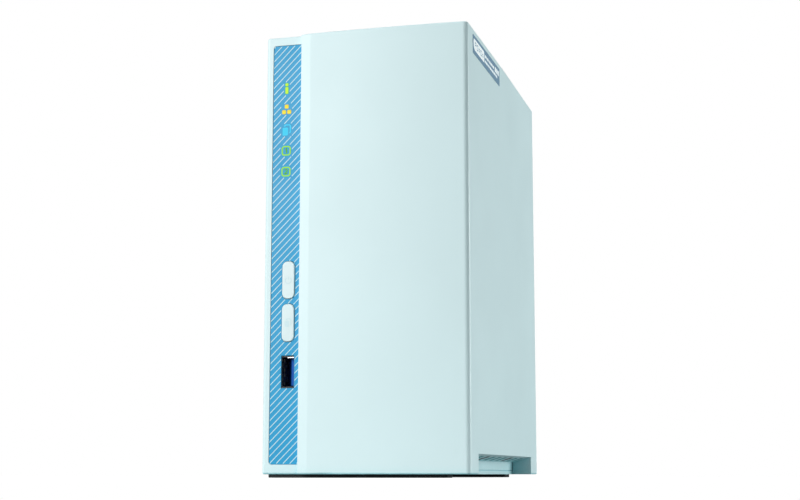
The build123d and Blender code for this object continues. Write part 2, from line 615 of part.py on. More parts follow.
with BuildPart() as fan_bearing:
    with BuildSketch(fan_plane(FAN_REAR - 16.9)):
        Circle(3.5)
        Circle(1.55, mode=Mode.SUBTRACT)
    extrude(amount=14.2)
save(fan_bearing.part, "fan_bearing")

with BuildPart() as fan_stator:
    with BuildSketch(fan_plane(FAN_REAR - 13.0)):
        Circle(7.0)
        with PolarLocations(9.5, 4):
            Rectangle(7.0, 4.0)
        with PolarLocations(13.0, 4):
            Rectangle(2.0, 12.0)
        Circle(4.7, mode=Mode.SUBTRACT)
    extrude(amount=8.0)
save(fan_stator.part, "fan_stator")

ROTOR_Y = FAN_FRONT + 1.2
ROTOR_L = 20.5
BLADES = 7
# radius, chord, pitch angle and backward skew at root, middle and tip
BLADE_SECTIONS = ((HUB_R - 0.6, 13.0, 42, 0), (27.0, 17.5, 34, 7), (36.0, 20.0, 27, 15))
with BuildPart() as fan_rotor:
    with BuildSketch(fan_plane(ROTOR_Y)):
        Circle(HUB_R)
    extrude(amount=ROTOR_L)
    fillet(fan_rotor.faces().sort_by(Axis.Y)[0].edges(), 1.2)
    with BuildSketch(fan_plane(ROTOR_Y + 1.6)):
        Circle(HUB_R - 1.6)
    extrude(amount=ROTOR_L, mode=Mode.SUBTRACT)
    blade_mid = ROTOR_Y + ROTOR_L / 2
    for i in range(BLADES):
        around = Rot(0, 360 / BLADES * i, 0)
        sections = []
        for radius, chord, pitch_deg, skew in BLADE_SECTIONS:
            spot = Pos(FAN_X, blade_mid, FAN_Z) * around * Rot(0, skew, 0) * Pos(radius, 0, 0)
            plane = Plane(spot * Rot(0, 90, 0))
            with BuildSketch(plane) as section:
                with Locations(Rotation(0, 0, pitch_deg)):
                    Ellipse(chord / 2, 0.65)
            sections.append(section.sketch)
        loft(sections)
save(fan_rotor.part, "fan_rotor")

with BuildPart() as fan_shaft:
    with BuildSketch(fan_plane(ROTOR_Y + 1.6)):
        Circle(1.5)
    extrude(amount=FAN_REAR - 3.4 - (ROTOR_Y + 1.6))
save(fan_shaft.part, "fan_shaft")

save(
    cross_screw(
        [
            facing((FAN_X + sx * FAN_PITCH / 2, PANEL_Y[1], FAN_Z + sz * FAN_PITCH / 2), (0, 1, 0))
            for sx in (-1, 1) for sz in (-1, 1)
        ],
        3.4, 1.9, 2.05, 8.0,
    ),
    "fan_screws",
)

# ---------------------------------------------------------------- cover's thumbscrews
for name, z in zip(("lower", "upper"), THUMB_Z):
    head_y = PANEL_Y[1] + 1.8
    with BuildPart() as thumbscrew:
        with BuildSketch(facing((THUMB_X, head_y, z), (0, 1, 0))):
            Circle(4.6)
            with PolarLocations(4.6, 28):
                Circle(0.22, mode=Mode.SUBTRACT)
        extrude(amount=3.4)
        with BuildSketch(facing((THUMB_X, head_y + 3.4, z), (0, 1, 0))):
            Circle(3.6)
        extrude(amount=0.4)
        with BuildSketch(facing((THUMB_X, head_y + 3.8, z), (0, -1, 0))):
            Rectangle(5.6, 0.9)
            Rectangle(0.9, 5.6)
        extrude(amount=1.6, mode=Mode.SUBTRACT)
        with BuildSketch(facing((THUMB_X, head_y, z), (0, -1, 0))):
            Circle(1.5)
        extrude(amount=8.0)
    save(thumbscrew.part, f"thumbscrew_{name}")

with BuildPart() as threaded_inserts:
    for z in THUMB_Z:
        with BuildSketch(facing((THUMB_X, PANEL_Y[1], z), (0, -1, 0))):
            Circle(2.6)
            Circle(1.55, mode=Mode.SUBTRACT)
        extrude(amount=5.5)
save(threaded_inserts.part, "threaded_inserts")

# ---------------------------------------------------------------- drive cage and backplane
CAGE_FRONT = DRIVE_Y - RAIL_T - 0.3  # inner faces of the cage's two walls
CAGE_BACK = DRIVE_Y + DRIVE[1] + RAIL_T + 0.3


def cage_wall(low, rib_low):
    """One wall of the cage: a row of cooling holes per drive, and guide ribs on both sides of each rail."""
    block((CAGE_X[0], low, CAGE_Z[0]), (CAGE_X[1], low + SHEET, CAGE_Z[1]))
    with BuildSketch(facing((0, low, 0), (0, 1, 0), (1, 0, 0))) as holes:
        for x in DRIVE_X:
            with Locations((x + DRIVE[0] / 2, -85)):
                with GridLocations(0, 24, 1, 5):
                    SlotOverall(16, 8)
    extrude(holes.sketch, amount=SHEET, mode=Mode.SUBTRACT)
    for x in DRIVE_X:
        for side in (x + 2.6, x + DRIVE[0] - 4.1):
            block((side, rib_low, CAGE_Z[0] + SHEET), (side + 1.5, rib_low + 1.6, CAGE_Z[1] - 4))


with BuildPart() as cage_front_wall:
    cage_wall(CAGE_FRONT - SHEET, CAGE_FRONT)
save(cage_front_wall.part, "cage_front_wall")

with BuildPart() as cage_rear_wall:
    cage_wall(CAGE_BACK, CAGE_BACK - 1.6)
save(cage_rear_wall.part, "cage_rear_wall")

with BuildPart() as cage_floor:
    block((CAGE_X[0], CAGE_FRONT, CAGE_Z[0]), (CAGE_X[1], CAGE_BACK, CAGE_Z[0] + SHEET))
    # openings over the connectors
    for x in DRIVE_X:
        block(
            (x - 0.6, SATA_Y - SATA_L / 2 - 1.5, CAGE_Z[0]), (x + 9.0, SATA_Y + SATA_L / 2 + 1.5, 20.0),
            Mode.SUBTRACT,
        )
    # legs that stand on the bosses of the floor
    for x, y in CAGE_FEET:
        block((x - 5.5, y - 6, FLOOR + 4.4), (x + 5.5, y + 6, FLOOR + 4.4 + SHEET))
        block((x - 5.5, y - 6, FLOOR + 4.4), (x + 5.5, y - 6 + SHEET, CAGE_Z[0] + SHEET))
        with BuildSketch(Plane.XY.offset(FLOOR + 4.4)):
            with Locations((x, y)):
                Circle(1.7)
        extrude(amount=SHEET, mode=Mode.SUBTRACT)
save(cage_floor.part, "cage_floor")

save(
    cross_screw(
        [facing((x, y, FLOOR + 4.4 + SHEET), (0, 0, 1), (1, 0, 0)) for x, y in CAGE_FEET],
        2.8, 1.8, 1.25, 5.0,
    ),
    "cage_screws",
)

with BuildPart() as backplane:
    block((BOARD_X[1] + 0.1, SATA_Y - 27, 13.4), (26.0, SATA_Y + 27, 15.0))
save(backplane.part, "backplane")

TONGUE_T = 1.2
with BuildPart() as sata_sockets:
    for x in DRIVE_X:
        block((x + 1.0, SATA_Y - SATA_L / 2, 15.0), (x + 7.0, SATA_Y + SATA_L / 2, DRIVE_Z + 6.0))
        block(
            (x + 3.9 - TONGUE_T / 2, SATA_Y - SATA_L / 2 + 1.8, DRIVE_Z + 1.0),
            (x + 4.1 + TONGUE_T / 2, SATA_Y + SATA_L / 2 - 1.8, DRIVE_Z + 6.0),
            Mode.SUBTRACT,
        )
save(sata_sockets.part, "sata_sockets")

# ---------------------------------------------------------------- drives
HOLE_Z = [DRIVE_Z + d for d in (28.5, 70.0, 130.1)]
for n, x in enumerate(DRIVE_X, 1):
    y0, y1 = DRIVE_Y, DRIVE_Y + DRIVE[1]
    z0, z1 = DRIVE_Z, DRIVE_Z + DRIVE[2]
    with BuildPart() as drive_body:
        block((x + 1.8, y0, z0), (x + DRIVE[0] - 1.6, y1, z1))
        fillet(drive_body.edges().filter_by(Axis.X), 2.0)
        fillet(drive_body.edges().group_by(Axis.X)[-1], 0.8)
        # space for the platters under the lid
        with BuildSketch(facing((x + DRIVE[0] - 1.6, (y0 + y1) / 2, z0 + 95), (-1, 0, 0))):
            Circle(48.0)
        extrude(amount=17.0, mode=Mode.SUBTRACT)
        # motor's boss on the board side
        with BuildSketch(facing((x + 1.8, (y0 + y1) / 2, z0 + 95), (-1, 0, 0))):
            Circle(17.0)
        extrude(amount=1.2)
        block(
            (x, SATA_Y - SATA_L / 2 - 0.8, z0 - 1), (x + 7.6, SATA_Y + SATA_L / 2 + 0.8, z0 + 8.0),
            Mode.SUBTRACT,
        )
        for y, normal in ((y0, (0, -1, 0)), (y1, (0, 1, 0))):
            for z in HOLE_Z:
                with BuildSketch(facing((x + DRIVE[0] / 2, y, z), normal)):
                    Circle(1.5)
                extrude(amount=-3.6, mode=Mode.SUBTRACT)
    save(drive_body.part, f"drive_{n}_body")

    with BuildPart() as drive_lid:
        with BuildSketch(facing((x + DRIVE[0] - 1.6, (y0 + y1) / 2, (z0 + z1) / 2), (1, 0, 0))) as lid_plan:
            RectangleRounded(DRIVE[2] - 5, DRIVE[1] - 5, 3)
        extrude(amount=1.2)
        fillet(drive_lid.faces().sort_by(Axis.X)[-1].edges(), 0.5)
        with BuildSketch(facing((x + DRIVE[0] - 0.4, (y0 + y1) / 2, z0 + 95), (1, 0, 0))):
            Circle(40)
            Circle(37, mode=Mode.SUBTRACT)
        extrude(amount=0.4)
    save(drive_lid.part, f"drive_{n}_lid")

    with BuildPart() as drive_board:
        with BuildSketch(facing((x + 0.2, 0, 0), (1, 0, 0), (0, 1, 0))) as pcb:
            with Locations(((y0 + y1) / 2, z0 + 38)):
                Rectangle(DRIVE[1] - 8, 58)
            fillet(pcb.vertices(), 2)
            with Locations((SATA_Y, z0 + 4.0)):
                Rectangle(SATA_L + 2.0, 9.0 + 3.0, mode=Mode.SUBTRACT)
        extrude(amount=1.4)
        # the connector's tongue and its block inside the notch
        block((x + 0.2, SATA_Y - SATA_L / 2, z0 + 6.8), (x + 7.0, SATA_Y + SATA_L / 2, z0 + 11.6))
        block(
            (x + 1.6, SATA_Y - SATA_L / 2, z0 + 8.0), (x + 8.0, SATA_Y + SATA_L / 2, z0 + 12.0),
            Mode.SUBTRACT,
        )
        block(
            (x + 4.0 - TONGUE_T / 2, SATA_Y - SATA_L / 2 + 2.1, z0 + 1.4),
            (x + 4.0 + TONGUE_T / 2, SATA_Y + SATA_L / 2 - 2.1, z0 + 8.0),
        )
    save(drive_board.part, f"drive_{n}_board")

    with BuildPart() as tray:
        centre_x = x + DRIVE[0] / 2
        rail_low, rail_high = x + 4.4, x + DRIVE[0] - 4.4
        block((rail_low, y0 - RAIL_T, z0 + 2), (rail_high, y0, z1 + 3.2))
        block((rail_low, y1, z0 + 2), (rail_high, y1 + RAIL_T, z1 + 3.2))
        block((rail_low, y0 - RAIL_T, z1 + 0.2), (rail_high, y1 + RAIL_T, z1 + 3.2))
        fillet(tray.edges().filter_by(Axis.X).group_by(Axis.Z)[-1], 2.0)
        # finger hole in the bridge, and recesses for the screws
        with BuildSketch(Plane.XY.offset(z1)):
            with Locations((centre_x, (y0 + y1) / 2)):
                SlotOverall(40, 11, rotation=90)
        extrude(amount=5, mode=Mode.SUBTRACT)
        for y, normal in ((y0 - RAIL_T, (0, -1, 0)), (y1 + RAIL_T, (0, 1, 0))):
            for z in HOLE_Z:
                with BuildSketch(facing((centre_x, y, z), normal)):
                    Circle(3.4)
                extrude(amount=-2.0, mode=Mode.SUBTRACT)
                with BuildSketch(facing((centre_x, y, z), normal)):
                    Circle(1.7)
                extrude(amount=-RAIL_T, mode=Mode.SUBTRACT)
    save(tray.part, f"drive_tray_{n}")

    save(
        cross_screw(
            [facing((x + DRIVE[0] / 2, y0 - RAIL_T + 2.0, z), (0, -1, 0)) for z in HOLE_Z]
            + [facing((x + DRIVE[0] / 2, y1 + RAIL_T - 2.0, z), (0, 1, 0)) for z in HOLE_Z],
            3.1, 1.5, 1.4, 4.2,
        ),
        f"tray_{n}_screws",
    )

# ---------------------------------------------------------------- wiring between boards and fan
HEADER_Y, HEADER_Z = 36.0, 88.0
with BuildPart() as board_sockets:
    # the slot that takes the backplane's edge
    block((BOARD_X[1], SATA_Y - 29, 11.4), (BOARD_X[1] + 6.0, SATA_Y + 29, 17.0))
    block((BOARD_X[1] + 0.1, SATA_Y - 27, 13.4), (BOARD_X[1] + 7.0, SATA_Y + 27, 15.0), Mode.SUBTRACT)
    # the fan's header
    block((BOARD_X[1], HEADER_Y - 4, HEADER_Z - 3), (BOARD_X[1] + 3.0, HEADER_Y + 4, HEADER_Z + 3))
    block((BOARD_X[1] + 3.0, HEADER_Y - 4, HEADER_Z + 1.8), (BOARD_X[1] + 7.6, HEADER_Y + 4, HEADER_Z + 3))
save(board_sockets.part, "board_sockets")

with BuildPart() as fan_lead:
    plug_x = BOARD_X[1] + 3.0
    block((plug_x, HEADER_Y - 3.8, HEADER_Z - 3), (plug_x + 4.4, HEADER_Y + 3.8, HEADER_Z + 1.7))
    with BuildLine() as route:
        Spline(
            (plug_x + 4.4, HEADER_Y, HEADER_Z - 0.8), (plug_x + 9.0, HEADER_Y + 4.0, HEADER_Z + 2.0),
            (FAN_X - 22.0, FAN_FRONT + 9.0, FAN_Z - 43.0), (FAN_X - 19.0, FAN_FRONT + 12.5, FAN_Z - 35.6),
            tangents=[(1, 0, 0), (0.2, 0.2, 1)],
        )
    with BuildSketch(facing(route.line @ 0, (1, 0, 0))):
        Circle(1.1)
    sweep(path=route.line)
save(fan_lead.part, "fan_lead")

# ---------------------------------------------------------------- label on the right wall
LABEL_Y, LABEL_Z = -39.3, 181.75
LABEL_X = HALF_END + SIDE_DRAFT * (LABEL_Y - FRONT) / -FRONT
with BuildPart() as side_label:
    wall = facing((LABEL_X, LABEL_Y, LABEL_Z), (-FRONT, -SIDE_DRAFT, 0), (SIDE_DRAFT, -FRONT, 0))
    with BuildSketch(wall):
        RectangleRounded(56.0, 8.2, 0.5)
    extrude(amount=0.1)
save(side_label.part, "side_label")
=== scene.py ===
"""Two-bay desktop network attached storage unit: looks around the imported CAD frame. Lengths in metres."""

import math
import random

import bmesh
import bpy
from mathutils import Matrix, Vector


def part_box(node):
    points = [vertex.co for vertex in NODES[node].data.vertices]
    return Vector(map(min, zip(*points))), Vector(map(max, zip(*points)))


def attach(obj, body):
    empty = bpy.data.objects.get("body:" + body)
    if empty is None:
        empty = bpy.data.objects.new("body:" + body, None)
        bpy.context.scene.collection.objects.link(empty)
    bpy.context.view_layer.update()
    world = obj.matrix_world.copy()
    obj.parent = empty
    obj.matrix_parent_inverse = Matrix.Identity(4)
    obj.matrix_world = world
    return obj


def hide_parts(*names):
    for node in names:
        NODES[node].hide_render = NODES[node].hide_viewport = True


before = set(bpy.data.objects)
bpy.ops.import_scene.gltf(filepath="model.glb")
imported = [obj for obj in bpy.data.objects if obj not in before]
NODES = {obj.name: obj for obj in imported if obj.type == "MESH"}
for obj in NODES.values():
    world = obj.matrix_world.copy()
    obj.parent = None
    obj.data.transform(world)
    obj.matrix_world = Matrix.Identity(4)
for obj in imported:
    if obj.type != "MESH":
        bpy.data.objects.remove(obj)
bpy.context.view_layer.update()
MM = 0.001
rng = random.Random(7)

# ---------------------------------------------------------------- camera
LENS = 64.487
CAM_AT = Vector((0.1677, -0.6407, 0.0015))
CAM_YAW = math.radians(15.11)
CAM_PITCH = math.radians(8.231)
CAM_SHIFT_Y = 0.021

camera_data = bpy.data.cameras.new("camera")
camera_data.lens = LENS
camera_data.sensor_width = 36.0
camera_data.shift_y = CAM_SHIFT_Y
camera_data.clip_start = 0.01
camera_data.clip_end = 50.0
camera = bpy.data.objects.new("camera", camera_data)
bpy.context.scene.collection.objects.link(camera)
camera.location = CAM_AT
camera.rotation_euler = (math.radians(90) + CAM_PITCH, 0, CAM_YAW)
bpy.context.scene.camera = camera


# ---------------------------------------------------------------- materials
class Shade:
    """One node material while it is laid out."""

    def __init__(self, name):
        self.mat = bpy.data.materials.new(name)
        self.mat.use_nodes = True
        self.tree = self.mat.node_tree
        self.tree.nodes.clear()
        self.out = self.add("ShaderNodeOutputMaterial")
        self.bsdf = self.add("ShaderNodeBsdfPrincipled")
        self.link(self.bsdf.outputs[0], self.out.inputs[0])
        self.coord = self.add("ShaderNodeTexCoord").outputs["Object"]

    def add(self, kind, **values):
        node = self.tree.nodes.new(kind)
        for key, value in values.items():
            if hasattr(node, key):
                setattr(node, key, value)
            else:
                node.inputs[key].default_value = value
        return node

    def link(self, a, b):
        self.tree.links.new(a, b)

    def noise(self, size_mm, detail=3.0, rough=0.55, stretch=None):
        node = self.add("ShaderNodeTexNoise", Scale=1000.0 / size_mm, Detail=detail, Roughness=rough)
        source = self.coord
        if stretch:
            mapping = self.add("ShaderNodeMapping")
            mapping.inputs["Scale"].default_value = stretch
            self.link(source, mapping.inputs["Vector"])
            source = mapping.outputs[0]
        self.link(source, node.inputs["Vector"])
        return node.outputs["Fac"]

    def ramp(self, fac, stops):
        node = self.add("ShaderNodeValToRGB")
        ramp = node.color_ramp
        while len(ramp.elements) < len(stops):
            ramp.elements.new(0.5)
        for element, (at, colour) in zip(ramp.elements, stops):
            element.position = at
            element.color = (*colour, 1.0)
        self.link(fac, node.inputs["Fac"])
        return node.outputs["Color"]

    def spread(self, fac, low, high, start=0.3, end=0.7):
        node = self.add("ShaderNodeMapRange")
        for key, value in zip(("From Min", "From Max", "To Min", "To Max"), (start, end, low, high)):
            node.inputs[key].default_value = value
        self.link(fac, node.inputs["Value"])
        return node.outputs["Result"]

    def mix(self, fac, a, b):
        node = self.add("ShaderNodeMix", data_type="RGBA")
        self.link(fac, node.inputs["Factor"])
        for socket, value in ((node.inputs[6], a), (node.inputs[7], b)):
            if isinstance(value, tuple):
                socket.default_value = (*value, 1.0)
            else:
                self.link(value, socket)
        return node.outputs[2]

    def edges(self, radius_mm):
        """1 on convex and concave edges, 0 on faces, and the softened normal."""
        bevel = self.add("ShaderNodeBevel", samples=4, Radius=radius_mm * MM)
        geometry = self.add("ShaderNodeNewGeometry")
        dot = self.add("ShaderNodeVectorMath", operation="DOT_PRODUCT")
        self.link(bevel.outputs[0], dot.inputs[0])
        self.link(geometry.outputs["Normal"], dot.inputs[1])
        return self.spread(dot.outputs["Value"], 1.0, 0.0, 0.75, 0.99), bevel.outputs[0]


def scaled(colour, k):
    return tuple(min(1.0, c * k) for c in colour)


def finish(name, colour, rough, metal=0.0, grain=0.35, depth=0.02, strength=0.35, mottle=0.05,
           mottle_mm=14.0, vary=0.07, edge=0.25, edge_wear_and_highlight=None, edge_wear_and_highlight_amount=0.6, stretch=None, coat=0.0,
           specular=0.5, glow=None, glow_power=0.0, clear=0.0, recess_shade=None):
    """A procedural surface: colour drift, grain bump, uneven gloss, softened edges with wear, which on the pale
    shell is partly a painted highlight.

    The colour given for narrow recesses is painted shade: an ambient occlusion mask mixes it in where light
    reaches the surface only off itself."""
    s = Shade(name)
    drift = s.noise(mottle_mm, 4.0)
    tone = s.ramp(drift, ((0.3, scaled(colour, 1 - mottle)), (0.7, scaled(colour, 1 + mottle))))
    mask, soft = s.edges(edge)
    # edges mixed in noisy patches towards a second colour: wear, and on the pale shell partly a painted
    # highlight
    if edge_wear_and_highlight:
        patches = s.spread(s.noise(2.5, 5.0, 0.7), 0.0, edge_wear_and_highlight_amount, 0.42, 0.62)
        node = s.add("ShaderNodeMath", operation="MULTIPLY")
        s.link(mask, node.inputs[0])
        s.link(patches, node.inputs[1])
        tone = s.mix(node.outputs[0], tone, edge_wear_and_highlight)
    # painted shade: narrow recesses take a darker, deeper colour through an ambient occlusion mask
    if recess_shade:
        recess_ao = s.add("ShaderNodeAmbientOcclusion", samples=6, Distance=12 * MM)
        tone = s.mix(s.spread(recess_ao.outputs["AO"], 1.0, 0.0, 0.28, 0.56), tone, recess_shade)
    s.link(tone, s.bsdf.inputs["Base Color"])
    fine = s.noise(grain, 2.0, 0.6, stretch)
    smudge = s.noise(mottle_mm * 0.6, 5.0, 0.65)
    s.link(s.spread(smudge, max(0.03, rough - vary), rough + vary), s.bsdf.inputs["Roughness"])
    bump = s.add("ShaderNodeBump", Strength=strength, Distance=depth * MM)
    s.link(fine, bump.inputs["Height"])
    s.link(soft, bump.inputs["Normal"])
    s.link(bump.outputs[0], s.bsdf.inputs["Normal"])
    s.bsdf.inputs["Metallic"].default_value = metal
    s.bsdf.inputs["Coat Weight"].default_value = coat
    s.bsdf.inputs["Coat Roughness"].default_value = 0.25
    s.bsdf.inputs["Specular IOR Level"].default_value = specular
    s.bsdf.inputs["Transmission Weight"].default_value = clear
    if glow:
        s.link(s.ramp(drift, ((0.2, scaled(glow, 0.92)), (0.8, glow))), s.bsdf.inputs["Emission Color"])
        s.bsdf.inputs["Emission Strength"].default_value = glow_power
    return s.mat


def lamp(name, colour):
    """A lit window in the film: a dim surface that also gives off light of its colour."""
    return finish(name, scaled(colour, 0.45), 0.5, mottle=0.03, edge=0.02, specular=0.15,
                  glow=colour, glow_power=0.5)


AQUA = (0.645, 0.82, 0.845)
BLUE = (0.022, 0.33, 0.605)
DARK = (0.016, 0.017, 0.019)
STEEL = (0.60, 0.60, 0.61)
GREEN = (0.010, 0.095, 0.045)

M = {
    "shell": finish("shell_plastic", AQUA, 0.42, grain=0.28, depth=0.012, strength=0.22, mottle=0.012,
                    # partly painted highlight: the shell's lighter edge colour is wear and partly an edge
                    # highlight
                    mottle_mm=45, vary=0.05, edge=0.3, edge_wear_and_highlight=(0.72, 0.89, 0.91), edge_wear_and_highlight_amount=0.25,
                    # painted shade: the deeper, darker teal that the shell takes in its recesses
                    specular=0.35, recess_shade=(0.37, 0.75, 0.81)),
    "film": finish("overlay_film", BLUE, 0.36, grain=0.5, depth=0.004, strength=0.2, mottle=0.03,
                   mottle_mm=30, edge=0.08, specular=0.2),
    "hatch": finish("hatch_ink", (0.46, 0.69, 0.75), 0.45, grain=0.3, depth=0.002, mottle=0.05, edge=0.02),
    "button": finish("button_plastic", (0.61, 0.755, 0.775), 0.34, grain=0.3, depth=0.006, strength=0.15,
                     mottle=0.012, edge=0.25, coat=0.1),
    "symbol": finish("button_symbol", (0.53, 0.71, 0.745), 0.4, grain=0.2, depth=0.003, mottle=0.04,
                     edge=0.05),
    "rubber": finish("black_rubber", (0.014, 0.017, 0.019), 0.75, grain=0.22, depth=0.03, strength=0.5,
                     mottle=0.15, mottle_mm=6, edge=0.15, edge_wear_and_highlight=(0.05, 0.055, 0.06)),
    "black": finish("black_plastic", DARK, 0.48, grain=0.3, depth=0.02, strength=0.4, mottle=0.12,
                    mottle_mm=8, edge=0.2, edge_wear_and_highlight=(0.06, 0.06, 0.065)),
    "rear": finish("rear_plastic", (0.40, 0.53, 0.56), 0.55, grain=0.32, depth=0.025, strength=0.5,
                   mottle=0.03, edge=0.3, edge_wear_and_highlight=(0.55, 0.66, 0.69)),
    "white": finish("white_plastic", (0.74, 0.73, 0.68), 0.45, grain=0.4, depth=0.01, mottle=0.05, edge=0.15),
    "clear": finish("clear_plastic", (0.80, 0.90, 0.86), 0.2, grain=0.5, depth=0.004, mottle=0.03, clear=0.6),
    "led": finish("led_lens", (0.70, 0.80, 0.45), 0.25, mottle=0.05, glow=(0.6, 1.0, 0.25), glow_power=0.8),
    "pcb": finish("solder_mask", GREEN, 0.28, grain=1.4, depth=0.01, strength=0.25, mottle=0.25,
                  mottle_mm=3.0, edge=0.1, edge_wear_and_highlight=(0.10, 0.16, 0.07), coat=0.3),
    "trace": finish("masked_copper", (0.022, 0.17, 0.07), 0.25, mottle=0.2, mottle_mm=3, edge=0.03, coat=0.3),
    "chip": finish("chip_epoxy", (0.022, 0.022, 0.024), 0.5, grain=0.2, depth=0.015, strength=0.5,
                   mottle=0.2, mottle_mm=3, edge=0.12, edge_wear_and_highlight=(0.09, 0.09, 0.09)),
    "zinc": finish("plated_steel", (0.36, 0.365, 0.36), 0.46, metal=1.0, grain=0.6, depth=0.002,
                   strength=0.2, mottle=0.10, mottle_mm=9, vary=0.08, edge=0.15, edge_wear_and_highlight=(0.6, 0.6, 0.59)),
    "bright": finish("bright_steel", STEEL, 0.22, metal=1.0, grain=0.5, depth=0.002, mottle=0.08,
                     mottle_mm=4, vary=0.1, edge=0.1, edge_wear_and_highlight=(0.85, 0.85, 0.85)),
    # painted shade: plated steel made nearly black for the front USB shell and its leaves, which sit in shade;
    # the rear ones stay bright
    "shade_steel": finish("steel_painted_as_shade", (0.07, 0.07, 0.075), 0.3, metal=0.7, grain=0.5, depth=0.002,
                         mottle=0.12, mottle_mm=4, vary=0.1, edge=0.1, edge_wear_and_highlight=(0.16, 0.155, 0.15),
                         specular=0.3),
    "tin": finish("tinned_leads", (0.62, 0.62, 0.60), 0.3, metal=1.0, grain=0.3, depth=0.003, mottle=0.1,
                  mottle_mm=2, edge=0.04),
    "gold": finish("gold_contact", (0.83, 0.60, 0.24), 0.25, metal=1.0, grain=0.3, depth=0.002,
                   mottle=0.1, mottle_mm=2, edge=0.04),
    "can": finish("capacitor_can", (0.62, 0.62, 0.64), 0.35, metal=1.0, grain=0.4, depth=0.003,
                  mottle=0.08, edge=0.15, stretch=(1, 6, 6)),
    "alloy": finish("heatsink_alloy", (0.34, 0.36, 0.38), 0.42, metal=1.0, grain=0.25, depth=0.006,
                    strength=0.4, mottle=0.08, edge=0.15, edge_wear_and_highlight=(0.8, 0.8, 0.8)),
    "casting": finish("drive_casting", (0.12, 0.125, 0.13), 0.5, metal=0.7, grain=0.5, depth=0.05,
                      strength=0.55, mottle=0.15, mottle_mm=5, edge=0.3, edge_wear_and_highlight=(0.5, 0.5, 0.5)),
    "lid": finish("drive_lid_steel", (0.50, 0.51, 0.53), 0.36, metal=1.0, grain=0.25, depth=0.002,
                  strength=0.2, mottle=0.04, mottle_mm=20, vary=0.06, edge=0.3, stretch=(1, 1, 14),
                  edge_wear_and_highlight=(0.7, 0.7, 0.7)),
    "bronze": finish("sintered_bronze", (0.42, 0.24, 0.10), 0.5, metal=1.0, grain=0.2, depth=0.02, edge=0.1),
    "copper": finish("winding_copper", (0.55, 0.20, 0.07), 0.35, metal=1.0, grain=0.35, depth=0.06,
                     strength=0.8, mottle=0.2, mottle_mm=2, stretch=(1, 5, 1)),
    "ferrite": finish("ferrite", (0.045, 0.045, 0.05), 0.6, grain=0.3, depth=0.03, mottle=0.2, edge=0.15),
    "ceramic": finish("smd_ceramic", (0.33, 0.22, 0.13), 0.5, mottle=0.3, mottle_mm=2, edge=0.04),
    "label": finish("label_film", (0.145, 0.285, 0.42), 0.5, grain=0.4, depth=0.003, mottle=0.04, edge=0.05,
                    specular=0.15),
    # painted light: this white film glows a little of its own, so the side label and drive stickers stay bright
    # where shade falls
    "glowing_white_label": finish("glowing_white_label", (0.90, 0.97, 1.0), 0.5, grain=0.4, depth=0.003, mottle=0.02,
                          edge=0.03, specular=0.3, glow=(0.9, 0.97, 1.0), glow_power=0.16),
    "label_ink": finish("label_ink", (0.10, 0.21, 0.32), 0.5, grain=0.3, depth=0.002, mottle=0.05, edge=0.02,
                        specular=0.15),
    "sticker": finish("silver_sticker", (0.55, 0.56, 0.58), 0.35, metal=0.6, grain=0.5, depth=0.003,
                      mottle=0.05),
    "green_lit": lamp("green_light", (0.36, 0.86, 0.04)),
    "green_ink": lamp("green_digit", (0.11, 0.50, 0.05)),
    "lime_lit": lamp("lime_light", (0.60, 0.97, 0.06)),
    "lime_rim": lamp("lime_rim", (0.10, 0.60, 0.06)),
    "amber_lit": lamp("amber_light", (0.97, 0.84, 0.05)),
    "amber_rim": lamp("amber_rim", (0.86, 0.52, 0.06)),
    "cyan_lit": lamp("cyan_light", (0.06, 0.68, 0.97)),
    "orange_lens": finish("orange_lens", (0.75, 0.35, 0.04), 0.25, mottle=0.05, coat=0.4),
    "green_lens": finish("green_lens", (0.10, 0.55, 0.12), 0.25, mottle=0.05, coat=0.4),
    # painted shade: dark teal strips in the intake's slots stand in for the shade seen through them
    "slot_shade": finish("slot_shade_teal", (0.15, 0.40, 0.43), 0.7, grain=0.5, depth=0.05, strength=0.6, mottle=0.15,
                     mottle_mm=3, edge=0.03, specular=0.1),
}


def socket_plastic():
    """Blue near the socket's mouth, painted black deeper in as shade."""
    s = Shade("usb_insert_plastic")
    split = s.add("ShaderNodeSeparateXYZ")
    s.link(s.coord, split.inputs[0])
    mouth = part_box("usb_front_insert")[0].y
    # painted shade: from 6.5 to 8.5 mm behind the mouth the blue fades to black
    deep = s.spread(split.outputs["Y"], 0.0, 1.0, mouth + 6.5 * MM, mouth + 8.5 * MM)
    tint = s.ramp(s.noise(3.0), ((0.3, (0.005, 0.095, 0.47)), (0.7, (0.007, 0.12, 0.55))))
    s.link(s.mix(deep, tint, (0.008, 0.009, 0.011)), s.bsdf.inputs["Base Color"])
    s.link(s.spread(s.noise(1.5), 0.4, 0.55), s.bsdf.inputs["Roughness"])
    s.bsdf.inputs["Specular IOR Level"].default_value = 0.1
    bump = s.add("ShaderNodeBump", Strength=0.25, Distance=0.01 * MM)
    s.link(s.noise(0.3), bump.inputs["Height"])
    s.link(bump.outputs[0], s.bsdf.inputs["Normal"])
    return s.mat


M["blue_insert"] = socket_plastic()

